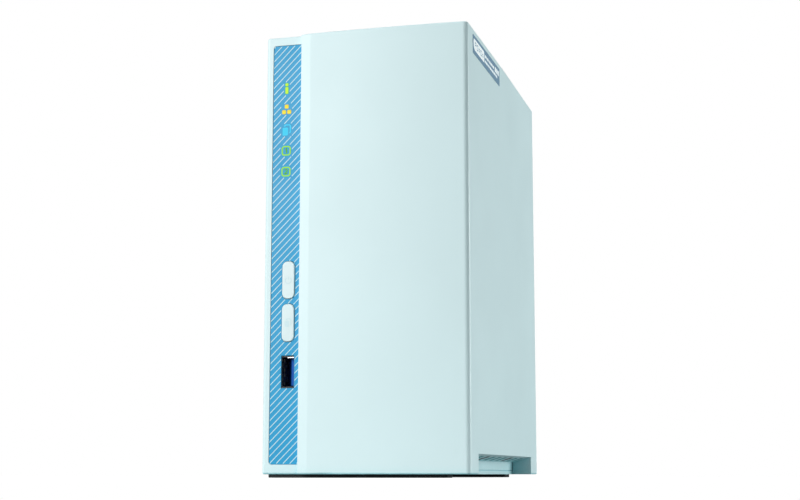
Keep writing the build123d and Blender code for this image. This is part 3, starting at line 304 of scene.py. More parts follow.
CAD_LOOK = {
    "shell": ["base_shell", "cover"],
    "rear": ["rear_panel"],
    "zinc": ["fan_grille", "board_screws", "fan_screws", "cage_floor", "cage_front_wall", "cage_rear_wall",
             "cage_screws", "tray_1_screws", "tray_2_screws"],
    "rubber": ["foot_front", "foot_rear"],
    "film": ["overlay"],
    "button": ["power_button_cap", "copy_button_cap"],
    "white": ["power_switch_plunger", "copy_switch_plunger", "board_sockets"],
    "black": ["tact_switches", "reset_plunger", "battery_holder", "usb_rear_inserts", "lan_jack", "dc_jack",
              "fan_frame", "fan_rotor", "sata_sockets", "drive_tray_1", "drive_tray_2", "fan_lead"],
    "clear": ["light_pipe"],
    "led": ["indicator_leds"],
    "pcb": ["main_board", "backplane", "drive_1_board", "drive_2_board"],
    "chip": ["soc_chip", "memory_chips"],
    "alloy": ["soc_heatsink"],
    "can": ["capacitors"],
    "ferrite": ["inductors"],
    # the front USB shell's steel is painted dark as shade
    "shade_steel": ["usb_front_shell"],
    "bright": ["coin_cell", "usb_rear_shells", "dc_pin", "fan_shaft", "thumbscrew_lower", "thumbscrew_upper"],
    "blue_insert": ["usb_front_insert"],
    "gold": ["lan_contacts", "threaded_inserts"],
    "bronze": ["fan_bearing"],
    "copper": ["fan_stator"],
    "casting": ["drive_1_body", "drive_2_body"],
    "lid": ["drive_1_lid", "drive_2_lid"],
    "label": ["side_label"],
}
for key, names in CAD_LOOK.items():
    for name in names:
        for slot in NODES[name].material_slots:
            slot.material = M[key]


# ---------------------------------------------------------------- shapes
def front(y):
    """Maps (across, up, out) to a point in front of the plane at y, all in millimetres."""
    return lambda u, v, w: Vector((u, y - w, v)) * MM


def rear(y):
    """Maps (across, up, out) to a point behind the plane at y."""
    return lambda u, v, w: Vector((u, y + w, v)) * MM


def side(x):
    """Maps (towards the rear, up, out to the right) to a point beside the plane at x."""
    return lambda u, v, w: Vector((x + w, u, v)) * MM


def rounded(cx, cz, w, h, r, steps=6):
    loop = []
    for turn, (sx, sz) in enumerate(((1, 1), (-1, 1), (-1, -1), (1, -1))):
        for i in range(steps + 1):
            a = math.radians(90 * turn + 90 * i / steps)
            loop.append((cx + sx * (w / 2 - r) + r * math.cos(a), cz + sz * (h / 2 - r) + r * math.sin(a)))
    return loop


def rect(cx, cz, w, h):
    return [(cx + sx * w / 2, cz + sz * h / 2) for sx, sz in ((-1, -1), (1, -1), (1, 1), (-1, 1))]


def disc(cx, cz, r, steps=32):
    return [(cx + r * math.cos(2 * math.pi * i / steps), cz + r * math.sin(2 * math.pi * i / steps))
            for i in range(steps)]


def arc(cx, cz, r, start, end, steps=24):
    angles = [math.radians(start + (end - start) * i / steps) for i in range(steps + 1)]
    return [(cx + r * math.cos(a), cz + r * math.sin(a)) for a in angles]


def slab(bm, place, loop, low, high):
    """A closed plate from an outline."""
    a = [bm.verts.new(place(u, v, low)) for u, v in loop]
    b = [bm.verts.new(place(u, v, high)) for u, v in loop]
    bm.faces.new(a)
    bm.faces.new(b)
    for i in range(len(loop)):
        j = (i + 1) % len(loop)
        bm.faces.new((a[i], a[j], b[j], b[i]))


def band(bm, place, outer, inner, low, high, closed=True):
    """A closed strip between two lines with the same number of points."""
    rows = [[bm.verts.new(place(u, v, w)) for u, v in line]
            for line, w in ((outer, low), (inner, low), (inner, high), (outer, high))]
    n = len(outer)
    for i in range(n if closed else n - 1):
        j = (i + 1) % n
        for k in range(4):
            p, q = rows[k], rows[(k + 1) % 4]
            bm.faces.new((p[i], p[j], q[j], q[i]))
    if not closed:
        for i in (0, n - 1):
            bm.faces.new([row[i] for row in rows])


def stroke(bm, place, path, width, low, high):
    """A flat line of constant width along a path."""
    left, right = [], []
    for i, (x, z) in enumerate(path):
        ax, az = path[max(0, i - 1)]
        bx, bz = path[min(len(path) - 1, i + 1)]
        d = Vector((bx - ax, bz - az)).normalized()
        if 0 < i < len(path) - 1:
            d1 = Vector((x - ax, z - az)).normalized()
            k = width / 2 / max(0.5, abs(d1.dot(d)))
        else:
            k = width / 2
        left.append((x - d.y * k, z + d.x * k))
        right.append((x + d.y * k, z - d.x * k))
    band(bm, place, left, right, low, high, closed=False)


def piece(name, build, look, body, smooth=False, bevel=0.0):
    """One new object, built by build(bm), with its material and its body."""
    bm = bmesh.new()
    build(bm)
    bmesh.ops.recalc_face_normals(bm, faces=bm.faces)
    mesh = bpy.data.meshes.new(name)
    bm.to_mesh(mesh)
    bm.free()
    obj = bpy.data.objects.new(name, mesh)
    bpy.context.scene.collection.objects.link(obj)
    mesh.materials.append(M[look])
    if smooth:
        mesh.polygons.foreach_set("use_smooth", [True] * len(mesh.polygons))
        mesh.set_sharp_from_angle(angle=math.radians(35))
    if bevel:
        mod = obj.modifiers.new("edge", "BEVEL")
        mod.width = bevel * MM
        mod.segments = 2
        mod.limit_method = "ANGLE"
        mod.angle_limit = math.radians(40)
    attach(obj, body)
    return obj


def mm_box(node):
    """A CAD node's low and high corners in millimetres."""
    low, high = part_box(node)
    return low / MM, high / MM


# ---------------------------------------------------------------- hatch on the blue panel
OV_LOW, OV_HIGH = mm_box("overlay")
FILM = front(OV_LOW.y)
# how far the print, a symbol's coloured rim and its lit core stand on the film
PRINT, RIM, CORE = (0.0, 0.02), (0.0, 0.03), (0.0, 0.05)
FILM_MARGIN = 0.12
PANEL = (OV_LOW.x + FILM_MARGIN, OV_HIGH.x, OV_LOW.z + FILM_MARGIN, OV_HIGH.z - FILM_MARGIN)
HATCH_PITCH, HATCH_W, HATCH_START = 2.97, 0.37, 0.9
HATCH_STEP = 0.1
SHORTEST_RUN = 4
ICON_X = -35.5
ICON_Z = [165.6 - 9.1 * i for i in range(5)]
CAPS = {name: mm_box(f"{name}_button_cap") for name in ("power", "copy")}
CONTROL_X = (CAPS["power"][0].x + CAPS["power"][1].x) / 2
BUTTON_Z = {name: (low.z + high.z) / 2 for name, (low, high) in CAPS.items()}
BUTTON_W, BUTTON_H = 5.5, 15.9
BUTTON_R, BUTTON_GAP = 2.3, 0.32
USB_Z = sum(corner.z for corner in mm_box("usb_front_shell")) / 2
# the width and height that the hatch leaves clear round each symbol and round the USB socket
ICON_CLEAR = ((2.6, 5.8), (4.9, 5.0), (4.9, 5.6), (5.1, 5.2), (5.1, 5.2))
HALOS = [(ICON_X, z, w, h) for z, (w, h) in zip(ICON_Z, ICON_CLEAR)]
HALOS.append((CONTROL_X, USB_Z, 6.0, 13.9))


def near_button(x, z, centre):
    """True inside a button's rounded outline, widened by the gap."""
    dx = max(0.0, abs(x - CONTROL_X) - BUTTON_W / 2 + BUTTON_R)
    dz = max(0.0, abs(z - centre) - BUTTON_H / 2 + BUTTON_R)
    return math.hypot(dx, dz) < BUTTON_R + BUTTON_GAP


def free_of_halos(x, z):
    if any(near_button(x, z, centre) for centre in BUTTON_Z.values()):
        return False
    return not any(abs(x - cx) < w / 2 and abs(z - cz) < h / 2 for cx, cz, w, h in HALOS)


def hatch(bm):
    """Slanting lines across the film, broken where something stands in their way."""
    left, right, low, high = PANEL
    half = HATCH_W / math.sqrt(2)
    start = low - (right - left)
    for n in range(int((high - start) / HATCH_PITCH) + 1):
        offset = start + n * HATCH_PITCH + HATCH_START
        runs, run = [], []
        for i in range(int((right - left) / HATCH_STEP) + 1):
            x = left + i * HATCH_STEP
            z = offset + (x - left)
            if low + half * 0.6 < z < high - half * 0.6 and free_of_halos(x, z):
                run.append((x, z))
            else:
                runs.append(run)
                run = []
        runs.append(run)
        for run in runs:
            if len(run) > SHORTEST_RUN:
                (x0, z0), (x1, z1) = run[0], run[-1]
                slab(bm, FILM, [(x0, z0 - half), (x1, z1 - half), (x1, z1 + half), (x0, z0 + half)], *PRINT)


piece("overlay_hatch", hatch, "hatch", "chassis")


# ---------------------------------------------------------------- lit symbols
def info_symbol(grow):
    """A dot over a stem; the rim behind them is the same shape, wider by grow."""
    def build(bm):
        z = ICON_Z[0]
        level = RIM if grow else CORE
        slab(bm, FILM, rounded(ICON_X, z + 1.78, 1.3 + grow, 1.2 + grow, 0.35 + grow / 2), *level)
        slab(bm, FILM, rounded(ICON_X, z - 0.75, 1.3 + grow, 2.95 + grow, 0.35 + grow / 2), *level)
    return build


def network_symbol(grow):
    """Three square lamps."""
    def build(bm):
        level = RIM if grow else CORE
        size, radius = 1.5 + grow, 0.35 + grow / 2
        for dx, dz in ((0, 1.2), (-1.16, -1.18), (1.16, -1.18)):
            slab(bm, FILM, rounded(ICON_X + dx, ICON_Z[1] + dz, size, size, radius), *level)
    return build


def copy_symbol(bm, place, x, z, k, low, high):
    """A filled sheet in front of the outline of a second one, scaled by k."""
    slab(bm, place, rounded(x - 0.5 * k, z - 0.65 * k, 2.5 * k, 3.5 * k, 0.55 * k), low, high)
    line = [(x - 0.75 * k, z + 1.5 * k), (x - 0.75 * k, z + 1.75 * k)]
    line += arc(x - 0.3 * k, z + 1.75 * k, 0.45 * k, 180, 90, 6)
    line += arc(x + 1.15 * k, z + 1.55 * k, 0.65 * k, 90, 0, 8)
    line += [(x + 1.8 * k, z - 0.75 * k)]
    line += arc(x + 1.3 * k, z - 0.8 * k, 0.5 * k, 0, -90, 6)
    stroke(bm, place, line, 0.5 * k, low, high)


def drive_rings(bm):
    for z in ICON_Z[3:]:
        band(bm, FILM, rounded(ICON_X, z, 4.15, 4.25, 1.25), rounded(ICON_X, z, 3.0, 3.1, 0.7), *CORE)


def digit_one(bm):
    x, z = ICON_X, ICON_Z[3]
    slab(bm, FILM, rounded(x + 0.15, z, 0.6, 2.3, 0.1, 2), *CORE)
    stroke(bm, FILM, [(x - 0.55, z + 0.55), (x + 0.2, z + 0.98)], 0.44, *CORE)


def digit_two(bm):
    x, z = ICON_X, ICON_Z[4]
    path = arc(x, z + 0.45, 0.55, 170, -30, 12)
    path += [(x - 0.45, z - 0.8)]
    stroke(bm, FILM, path, 0.56, *CORE)
    stroke(bm, FILM, [(x - 0.78, z - 0.9), (x + 0.78, z - 0.9)], 0.5, *CORE)


def drive_digits(bm):
    digit_one(bm)
    digit_two(bm)


piece("icon_status_rim", info_symbol(0.3), "lime_rim", "chassis")
piece("icon_status", info_symbol(0.0), "lime_lit", "chassis")
piece("icon_network_rim", network_symbol(0.34), "amber_rim", "chassis")
piece("icon_network", network_symbol(0.0), "amber_lit", "chassis")
piece("icon_copy", lambda bm: copy_symbol(bm, FILM, ICON_X, ICON_Z[2], 1.0, *CORE),
      "cyan_lit", "chassis")
piece("icon_drive_rings", drive_rings, "green_lit", "chassis")
piece("icon_drive_digits", drive_digits, "green_ink", "chassis")


# ---------------------------------------------------------------- button symbols
CAP = front(CAPS["power"][0].y)
MOULDED = (-0.01, 0.04)


def power_symbol(bm):
    """An open ring with a stem through its gap."""
    x, z = CONTROL_X + 0.05, BUTTON_Z["power"] - 0.2
    stroke(bm, CAP, arc(x, z, 1.3, 125, 415, 30), 0.36, *MOULDED)
    stroke(bm, CAP, [(x, z + 0.25), (x, z + 1.6)], 0.36, *MOULDED)


piece("power_button_symbol", power_symbol, "symbol", "power_button")
piece("copy_button_symbol",
      lambda bm: copy_symbol(bm, CAP, CONTROL_X, BUTTON_Z["copy"], 0.74, *MOULDED),
      "symbol", "copy_button")


# ---------------------------------------------------------------- USB contacts, springs and lip
USB_MOUTH = mm_box("usb_front_shell")[0].y
REAR_USB_LOW, REAR_USB_HIGH = mm_box("usb_rear_shells")
REAR_USB_MOUTH = REAR_USB_HIGH.y
USB_HALF_HEIGHT = 6.55
REAR_USB_Z = [REAR_USB_LOW.z + USB_HALF_HEIGHT, REAR_USB_HIGH.z - USB_HALF_HEIGHT]
USB_WALL = CONTROL_X - 2.56
TONGUE_FACE = CONTROL_X + 0.55
# a spring leaf's bow: the depth behind the mouth and the height off the wall
LEAF_BOW = ((0.6, 0.25), (1.6, 0.45), (3.0, 0.95), (4.4, 1.0), (5.6, 0.5), (6.8, 0.05))
LEAF_HALF_WIDTH, LEAF_THICKNESS = 1.1, 0.2


def usb_contacts(mouth, centres, out):
    """Four flat contacts on the left face of each socket's tongue; out is the way its mouth faces."""
    def build(bm):
        for z in centres:
            for dz in (-3.5, -1.0, 1.0, 3.5):
                slab(bm, side(TONGUE_FACE), rect(mouth - out * 6.1, z + dz, 5.0, 1.0), -0.06, 0.0)
    return build


def usb_springs(mouth, centres, out):
    """Two bowed leaves inside each shell's left wall."""
    def build(bm):
        for z in centres:
            for dz in (-3.0, 3.0):
                low, high = z + dz - LEAF_HALF_WIDTH, z + dz + LEAF_HALF_WIDTH
                rows = []
                for depth, bow in LEAF_BOW:
                    y, x = mouth - out * depth, USB_WALL + bow
                    section = ((x, low), (x, high), (x - LEAF_THICKNESS, high), (x - LEAF_THICKNESS, low))
                    rows.append([bm.verts.new(Vector((across, y, up)) * MM) for across, up in section])
                for a, b in zip(rows, rows[1:]):
                    for k in range(4):
                        m = (k + 1) % 4
                        bm.faces.new((a[k], a[m], b[m], b[k]))
                bm.faces.new(rows[0])
                bm.faces.new(rows[-1])
    return build


def usb_lip(bm):
    """The front shell's folded edge inside the top of the mouth, and its broken seam down the left wall."""
    near, deep, top = USB_MOUTH + 0.1, USB_MOUTH + 1.6, USB_Z + 6.22
    fold = [(near, top), (deep, top), (deep, USB_Z + 5.7), (near, USB_Z + 5.8)]
    slab(bm, side(CONTROL_X), fold, -0.3, 2.5)
    for dz in (-4.2, -1.4, 1.4, 4.2):
        slab(bm, side(USB_WALL), rect(USB_MOUTH + 3.1, USB_Z + dz, 0.35, 2.3), 0.0, 0.14)


piece("usb_front_contacts", usb_contacts(USB_MOUTH, [USB_Z], -1), "gold", "chassis")
# the leaves use the steel painted dark as shade, deep in the front socket's mouth
piece("usb_front_springs", usb_springs(USB_MOUTH, [USB_Z], -1),
      "shade_steel", "chassis", smooth=True)
piece("usb_rear_contacts", usb_contacts(REAR_USB_MOUTH, REAR_USB_Z, 1), "gold", "chassis")
piece("usb_rear_springs", usb_springs(REAR_USB_MOUTH, REAR_USB_Z, 1),
      "bright", "chassis", smooth=True)
piece("usb_front_lip", usb_lip, "bright", "chassis")


# ---------------------------------------------------------------- air intake's slots, filled with strips of painted shade
SLOTS = 9
SLOT_PITCH, SLOT_W, SLOT_PLAY = 13.2, 6.5, 0.05
SLOT_Y = [-0.5 + SLOT_PITCH * (i - SLOTS // 2) for i in range(SLOTS)]
SLOT_X = (36.8, 42.0)
INTAKE_EDGE, INTAKE_Z, INTAKE_RISE = 35.6, 7.2, 2.5 / 9.0
DARK_SLOTS = (2, 6)


def intake_strips(chosen):
    """Thin strips of painted shade set just above the face of the sloping ceiling, one in each chosen slot."""
    x0, x1 = SLOT_X[0] + SLOT_PLAY, SLOT_X[1] - SLOT_PLAY
    z0, z1 = (INTAKE_Z + (x - INTAKE_EDGE) * INTAKE_RISE for x in SLOT_X)
    outline = [(x0, z0 + 0.06), (x1, z1 + 0.06), (x1, z1 + 0.5), (x0, z0 + 0.5)]
    half = SLOT_W / 2 - SLOT_PLAY

    def build(bm):
        for i in chosen:
            slab(bm, front(SLOT_Y[i]), outline, -half, half)
    return build


piece("intake_shade_strips", intake_strips([i for i in range(SLOTS) if i not in DARK_SLOTS]),
      "slot_shade", "cover_body")
piece("intake_black_shade_strips", intake_strips(DARK_SLOTS), "black", "cover_body")


# ---------------------------------------------------------------- print on the side label
LB_LOW, LB_HIGH = mm_box("side_label")
LABEL_THICKNESS = 0.1
LABEL_DRAFT = (LB_HIGH.x - LB_LOW.x - LABEL_THICKNESS) / (LB_HIGH.y - LB_LOW.y)
UPPER_DASHES = (2.2, 1.3, 2.6, 0.9, 1.9, 2.4, 1.4, 2.2)
LOWER_DASHES = (1.8, 2.6, 1.2, 2.0, 2.8, 1.5, 2.2, 2.6, 1.8, 2.4)
DASH_START, DASH_GAP = 24.2, 0.6
BLOCKS_U = (46.6, 49.8, 53.0)
# dark frames on the field: place along it, place up, width, height
FIELD_FRAMES = ((5.2, 5.0, 2.6, 1.6), (9.0, 4.4, 2.4, 2.6), (12.4, 4.4, 1.8, 1.7), (16.2, 4.3, 2.8, 2.5),
                (19.8, 4.2, 1.8, 1.7))


def label_place(u, v, w):
    """u runs rearwards from the label's front end, v up from its lower edge, w out of its face."""
    return Vector((LB_LOW.x + LABEL_THICKNESS + u * LABEL_DRAFT + w, LB_LOW.y + u, LB_LOW.z + v)) * MM


def label_patch(bm):
    """A light field with rounded corners, two rows of dashes and three blocks."""
    field = arc(21.3, 5.3, 1.5, 0, 90, 6) + arc(2.6, 5.3, 1.5, 90, 180, 6)
    field += arc(4.1, 4.9, 3.0, 180, 270, 8) + [(22.8, 1.9)]
    slab(bm, label_place, field, 0.0, 0.02)
    for v, height, widths in ((5.3, 1.3, UPPER_DASHES), (2.9, 1.2, LOWER_DASHES)):
        u = DASH_START
        for width in widths:
            slab(bm, label_place, rounded(u + width / 2, v, width, height, 0.2, 2), 0.0, 0.02)
            u += width + DASH_GAP
    for u in BLOCKS_U:
        slab(bm, label_place, rounded(u, 5.4, 2.6, 2.3, 0.4, 3), 0.0, 0.02)


def label_marks(bm):
    for u, v, width, height in FIELD_FRAMES:
        outer = rounded(u, v, width, height, 0.5, 3)
        band(bm, label_place, outer, rounded(u, v, width - 0.8, height - 0.8, 0.2, 3), 0.02, 0.035)


piece("side_label_patch", label_patch, "glowing_white_label", "cover_body")
piece("side_label_marks", label_marks, "label_ink", "cover_body")

# ---------------------------------------------------------------- main board's small parts
BD_LOW, BD_HIGH = mm_box("main_board")
FLAT = side(BD_HIGH.x)
WHOLE_PARTS = ("soc_heatsink", "battery_holder", "lan_jack", "dc_jack", "usb_front_shell", "usb_rear_shells",
               "fan_lead")
SPREAD_PARTS = ("memory_chips", "capacitors", "inductors", "board_screws", "tact_switches", "indicator_leds",
                "board_sockets")
POINTS_PER_PART = 400
POINT_ROOM = Vector((1, 1.2, 1.2))
FAN_ROOM = (Vector((-60, 42, 95)), Vector((60, 90, 200)))

# the boxes that small parts keep out of; a node with parts all over the board gives one box for each
# point of its mesh that is looked at
KEEP_OUT = [mm_box(name) for name in WHOLE_PARTS]
for name in SPREAD_PARTS:
    points = [vertex.co / MM for vertex in NODES[name].data.vertices]
    for p in points[:: max(1, len(points) // POINTS_PER_PART)]:
        KEEP_OUT.append((p - POINT_ROOM, p + POINT_ROOM))
KEEP_OUT.append(FAN_ROOM)
TRIES_PER_SPOT, SPOT_GAP = 30, 0.6
BOARD_EDGE = 4
LEAD_PITCH, LEAD_WIDTH = 1.27, 0.42
TRACE_RUNS, LANE_PITCH, VIAS = 46, 0.55, 170
TRACK_REAR, TRACK_BOTTOM, TRACK_TOP = 40.0, BD_LOW.z + 3, BD_HIGH.z - 3


def spots(count, w, h, taken):
    """Seeded places for small parts, clear of each other and of the larger parts on the board."""
    found = []
    for _ in range(count * TRIES_PER_SPOT):
        if len(found) == count:
            break
        y = rng.uniform(BD_LOW.y + BOARD_EDGE, BD_HIGH.y - BOARD_EDGE)
        z = rng.uniform(BD_LOW.z + BOARD_EDGE, BD_HIGH.z - BOARD_EDGE)
        y, z = round(y * 2) / 2, round(z * 2) / 2
        kept_out = any(a.y - w < y < b.y + w and a.z - h < z < b.z + h for a, b in KEEP_OUT)
        crowded = any(abs(y - py) < (w + pw) / 2 + SPOT_GAP and abs(z - pz) < (h + ph) / 2 + SPOT_GAP
                      for py, pz, pw, ph in taken)
        if not (kept_out or crowded):
            found.append((y, z, w, h))
            taken.append((y, z, w, h))
    return found


taken = []
IC_SPOTS = spots(7, 6.0, 5.0, taken)
CHIP_SPOTS = spots(150, 1.7, 0.9, taken)
CHIP_SPOTS_UP = spots(110, 0.9, 1.7, taken)


def small_bodies(bm):
    """Chip resistors and capacitors, some lying along the board and some standing up it."""
    for y, z, w, h in CHIP_SPOTS:
        slab(bm, FLAT, rect(y, z, w * 0.55, h), 0.0, 0.5)
    for y, z, w, h in CHIP_SPOTS_UP:
        slab(bm, FLAT, rect(y, z, w, h * 0.55), 0.0, 0.5)


def small_ends(bm):
    """Their tinned end caps and the pads under them."""
    for y, z, w, h in CHIP_SPOTS:
        for s in (-1, 1):
            slab(bm, FLAT, rect(y + s * w * 0.385, z, w * 0.22, h + 0.04), 0.0, 0.54)
            slab(bm, FLAT, rect(y + s * w * 0.5, z, w * 0.35, h + 0.3), 0.0, 0.05)
    for y, z, w, h in CHIP_SPOTS_UP:
        for s in (-1, 1):
            slab(bm, FLAT, rect(y, z + s * h * 0.385, w + 0.04, h * 0.22), 0.0, 0.54)
            slab(bm, FLAT, rect(y, z + s * h * 0.5, w + 0.3, h * 0.35), 0.0, 0.05)


def driver_bodies(bm):
    for y, z, _, _ in IC_SPOTS:
        slab(bm, FLAT, rect(y, z, 4.0, 4.9), 0.15, 1.45)


def driver_leads(bm):
    """Four stepped leads on each side of a driver chip."""
    for y, z, _, _ in IC_SPOTS:
        for s in (-1, 1):
            for i in range(4):
                lead_z = z + (i - 1.5) * LEAD_PITCH
                slab(bm, FLAT, rect(y + s * 2.2, lead_z, 0.45, LEAD_WIDTH), 0.5, 0.75)
                slab(bm, FLAT, rect(y + s * 2.55, lead_z, 0.3, LEAD_WIDTH), 0.0, 0.75)
                slab(bm, FLAT, rect(y + s * 2.95, lead_z, 0.7, LEAD_WIDTH), 0.0, 0.12)


def traces(bm):
    """Runs of parallel tracks with 45 degree bends."""
    for _ in range(TRACE_RUNS):
        y = rng.uniform(BD_LOW.y + 6, 30)
        z = rng.uniform(BD_LOW.z + 8, BD_HIGH.z - 30)
        lanes = rng.randint(2, 7)
        a, b, c = rng.uniform(4, 24), rng.uniform(3, 9), rng.uniform(4, 24)
        turn = rng.choice((-1, 1))
        for k in range(lanes):
            o = k * LANE_PITCH
            path = [(y, z + o), (y + a - turn * o * 0.41, z + o), (y + a + b, z + o + turn * b),
                    (y + a + b + c, z + o + turn * b)]
            if path[-1][0] < TRACK_REAR and TRACK_BOTTOM < path[-1][1] < TRACK_TOP:
                stroke(bm, FLAT, path, 0.26, 0.0, 0.018)


def vias(bm):
    for _ in range(VIAS):
        y, z = rng.uniform(BD_LOW.y + 3, TRACK_REAR), rng.uniform(TRACK_BOTTOM, TRACK_TOP)
        band(bm, FLAT, disc(y, z, 0.42, 10), disc(y, z, 0.18, 10), 0.0, 0.03)


piece("board_traces", traces, "trace", "chassis")
piece("board_vias", vias, "tin", "chassis")
piece("board_chip_parts", small_bodies, "ceramic", "chassis")
piece("board_chip_part_ends", small_ends, "tin", "chassis")
piece("board_driver_chips", driver_bodies, "chip", "chassis", bevel=0.12)
piece("board_driver_leads", driver_leads, "tin", "chassis")


# ---------------------------------------------------------------- drives' stickers and lid screws
# levels, counted from the lid's highest face, of the sticker's back, its face and its print
STICKER_BACK, STICKER_FACE, STICKER_PRINT = -0.4, -0.32, -0.3
BARS, BAR_PITCH = 24, 1.6
TEXT_LINES, LINE_PITCH = 7, 4.0
SCREW_INSET, SCREW_R = 5, 2.2
STAR_POINTS, STAR_OUT, STAR_IN = 24, 1.15, 0.8


def drive_label(n):
    low, high = mm_box(f"drive_{n}_lid")

    def build(bm):
        slab(bm, side(high.x), rounded((low.y + high.y) / 2, low.z + 25, 74, 44, 2), STICKER_BACK, STICKER_FACE)
    return build


def drive_bars(n):
    """A row of bars and lines of plain dashes in place of the words."""
    low, high = mm_box(f"drive_{n}_lid")

    def build(bm):
        place = side(high.x)
        y = (low.y + high.y) / 2
        for i in range(BARS):
            w = 0.4 + 0.5 * ((i * 7) % 3)
            slab(bm, place, rect(y - 30 + i * BAR_PITCH, low.z + 9, w, 6), STICKER_FACE, STICKER_PRINT)
        for i in range(TEXT_LINES):
            shorter = i % 3
            line = rounded(y - 6 - shorter * 6, low.z + 17 + i * LINE_PITCH, 50 - shorter * 12, 1.2, 0.3)
            slab(bm, place, line, STICKER_FACE, STICKER_PRINT)
    return build


def lid_screws(n):
    """Six flat screws with star recesses."""
    low, high = mm_box(f"drive_{n}_lid")

    def build(bm):
        for y in (low.y + SCREW_INSET, high.y - SCREW_INSET):
            for z in (low.z + SCREW_INSET, (low.z + high.z) / 2, high.z - SCREW_INSET):
                star = []
                for i in range(STAR_POINTS):
                    r = STAR_OUT if i % 4 < 2 else STAR_IN
                    a = 2 * math.pi * i / STAR_POINTS
                    star.append((y + r * math.cos(a), z + r * math.sin(a)))
                band(bm, side(high.x), disc(y, z, SCREW_R, STAR_POINTS), star, -0.5, 0.25)
    return build


for n in (1, 2):
    piece(f"drive_{n}_sticker", drive_label(n), "glowing_white_label", f"drive_{n}")
    piece(f"drive_{n}_sticker_print", drive_bars(n), "chip", f"drive_{n}")
    piece(f"drive_{n}_lid_screws", lid_screws(n), "tin", f"drive_{n}", bevel=0.1)

# ---------------------------------------------------------------- fan stickers and the fan's lead
HUB_FACE = mm_box("fan_rotor")[0].y
FAN_BACK = mm_box("fan_frame")[1].y
FAN_AXIS = (1.5, 140.0)


def hub_sticker(bm):
    band(bm, front(HUB_FACE), disc(*FAN_AXIS, 14.0, 64), disc(*FAN_AXIS, 3.0, 64), 0.0, 0.06)


def motor_sticker(bm):
    slab(bm, rear(FAN_BACK), disc(*FAN_AXIS, 13.5, 64), -0.02, 0.05)


# the same route as the CAD tube that the wire replaces
LEAD_ROUTE = [(-29.5, 36.0, 87.2), (-24.9, 40.0, 90.0), (-20.5, 53.9, 97.0), (-17.5, 57.4, 104.4)]
LEAD_R = 1.1


def lead_plug(bm):
    """The four-way plug on the header, with its four crimped ends."""
    slab(bm, side(-33.9), rounded(36.0, 87.35, 7.6, 4.7, 0.4, 2), 0.0, 4.3)
    for dy in (-2.55, -0.85, 0.85, 2.55):
        slab(bm, side(-30.0), rounded(36.0 + dy, 88.6, 1.1, 1.0, 0.2, 2), 0.0, 0.45)


def lead_curve():
    data = bpy.data.curves.new("fan_lead_wire", "CURVE")
    data.dimensions = "3D"
    spline = data.splines.new("NURBS")
    spline.points.add(len(LEAD_ROUTE) - 1)
    for point, at in zip(spline.points, LEAD_ROUTE):
        point.co = (*(Vector(at) * MM), 1.0)
    spline.order_u = 3
    spline.use_endpoint_u = True
    spline.resolution_u = 16
    data.bevel_depth = LEAD_R * MM
    data.bevel_resolution = 4
    data.use_fill_caps = True
    data.materials.append(M["black"])
    wire = bpy.data.objects.new("fan_lead_wire", data)
    bpy.context.scene.collection.objects.link(wire)
    return wire


plug = piece("fan_lead_plug", lead_plug, "white", "chassis", bevel=0.12)
lead = lead_curve()
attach(lead, "chassis")
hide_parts("fan_lead")

piece("fan_hub_sticker", hub_sticker, "sticker", "fan_wheel")
piece("fan_motor_sticker", motor_sticker, "sticker", "chassis")

# ---------------------------------------------------------------- rear panel's sockets, marks and ribs
PANEL_Y = mm_box("rear_panel")[0].y + 2.5
MARK, RING_MARK, RIB = (0.0, 0.15), (0.0, 0.12), (0.0, 0.35)
LAN_LOW, LAN_HIGH = mm_box("lan_jack")
LAN_X, LAN_Z = (LAN_LOW.x + LAN_HIGH.x) / 2, (LAN_LOW.z + LAN_HIGH.z) / 2


def lan_shell(bm):
    """The socket's folded steel shield, seen as a frame round its face."""
    outer = rounded(LAN_X, LAN_Z, 13.5, 16.0, 0.4, 3)
    inner = rounded(LAN_X, LAN_Z, 12.4, 14.9, 0.3, 3)
    band(bm, rear(LAN_HIGH.y), outer, inner, 0.0, 0.25)


def lan_lens(dz):
    def build(bm):
        slab(bm, rear(LAN_HIGH.y), rect(LAN_LOW.x + 1.9, LAN_Z + dz, 1.6, 2.6), 0.0, 0.3)
    return build


piece("lan_jack_shield", lan_shell, "bright", "chassis", bevel=0.08)
piece("lan_link_lens", lan_lens(4.6), "green_lens", "chassis", bevel=0.15)
piece("lan_activity_lens", lan_lens(-4.6), "orange_lens", "chassis", bevel=0.15)


def rear_marks(bm):
    """Generic moulded marks beside the ports."""
    place = rear(PANEL_Y)
    # polarity sign beside the power inlet
    x, z = -20.5, 17.5
    band(bm, place, disc(x, z, 1.6), disc(x, z, 1.25), *MARK)
    slab(bm, place, disc(x, z, 0.5, 16), *MARK)
    stroke(bm, place, [(x + 1.6, z), (x + 3.6, z)], 0.35, *MARK)
    stroke(bm, place, [(x - 0.5, z), (x - 3.4, z)], 0.35, *MARK)
    # network sign: three boxes and a line between them
    x, z = -17.0, 46.0
    for dx, dz in ((0, 1.6), (-1.8, -1.6), (1.8, -1.6)):
        box = rounded(x + dx, z + dz, 2.2, 1.7, 0.2, 2)
        band(bm, place, box, rounded(x + dx, z + dz, 1.5, 1.0, 0.1, 2), *MARK)
    stroke(bm, place, [(x - 1.8, z), (x + 1.8, z)], 0.3, *MARK)
    # ring round the reset hole
    band(bm, place, disc(-34.0, 30.0, 2.0), disc(-34.0, 30.0, 1.65), *RING_MARK)
    # padlock beside the security slot
    x, z = 21.0, 14.6
    slab(bm, place, rounded(x, z - 0.6, 3.0, 2.4, 0.3), *MARK)
    shackle = [(x - 0.95, z + 0.5)] + arc(x, z + 1.1, 0.95, 180, 0, 10) + [(x + 0.95, z + 0.5)]
    stroke(bm, place, shackle, 0.4, *MARK)


piece("rear_panel_marks", rear_marks, "white", "chassis", bevel=0.05)


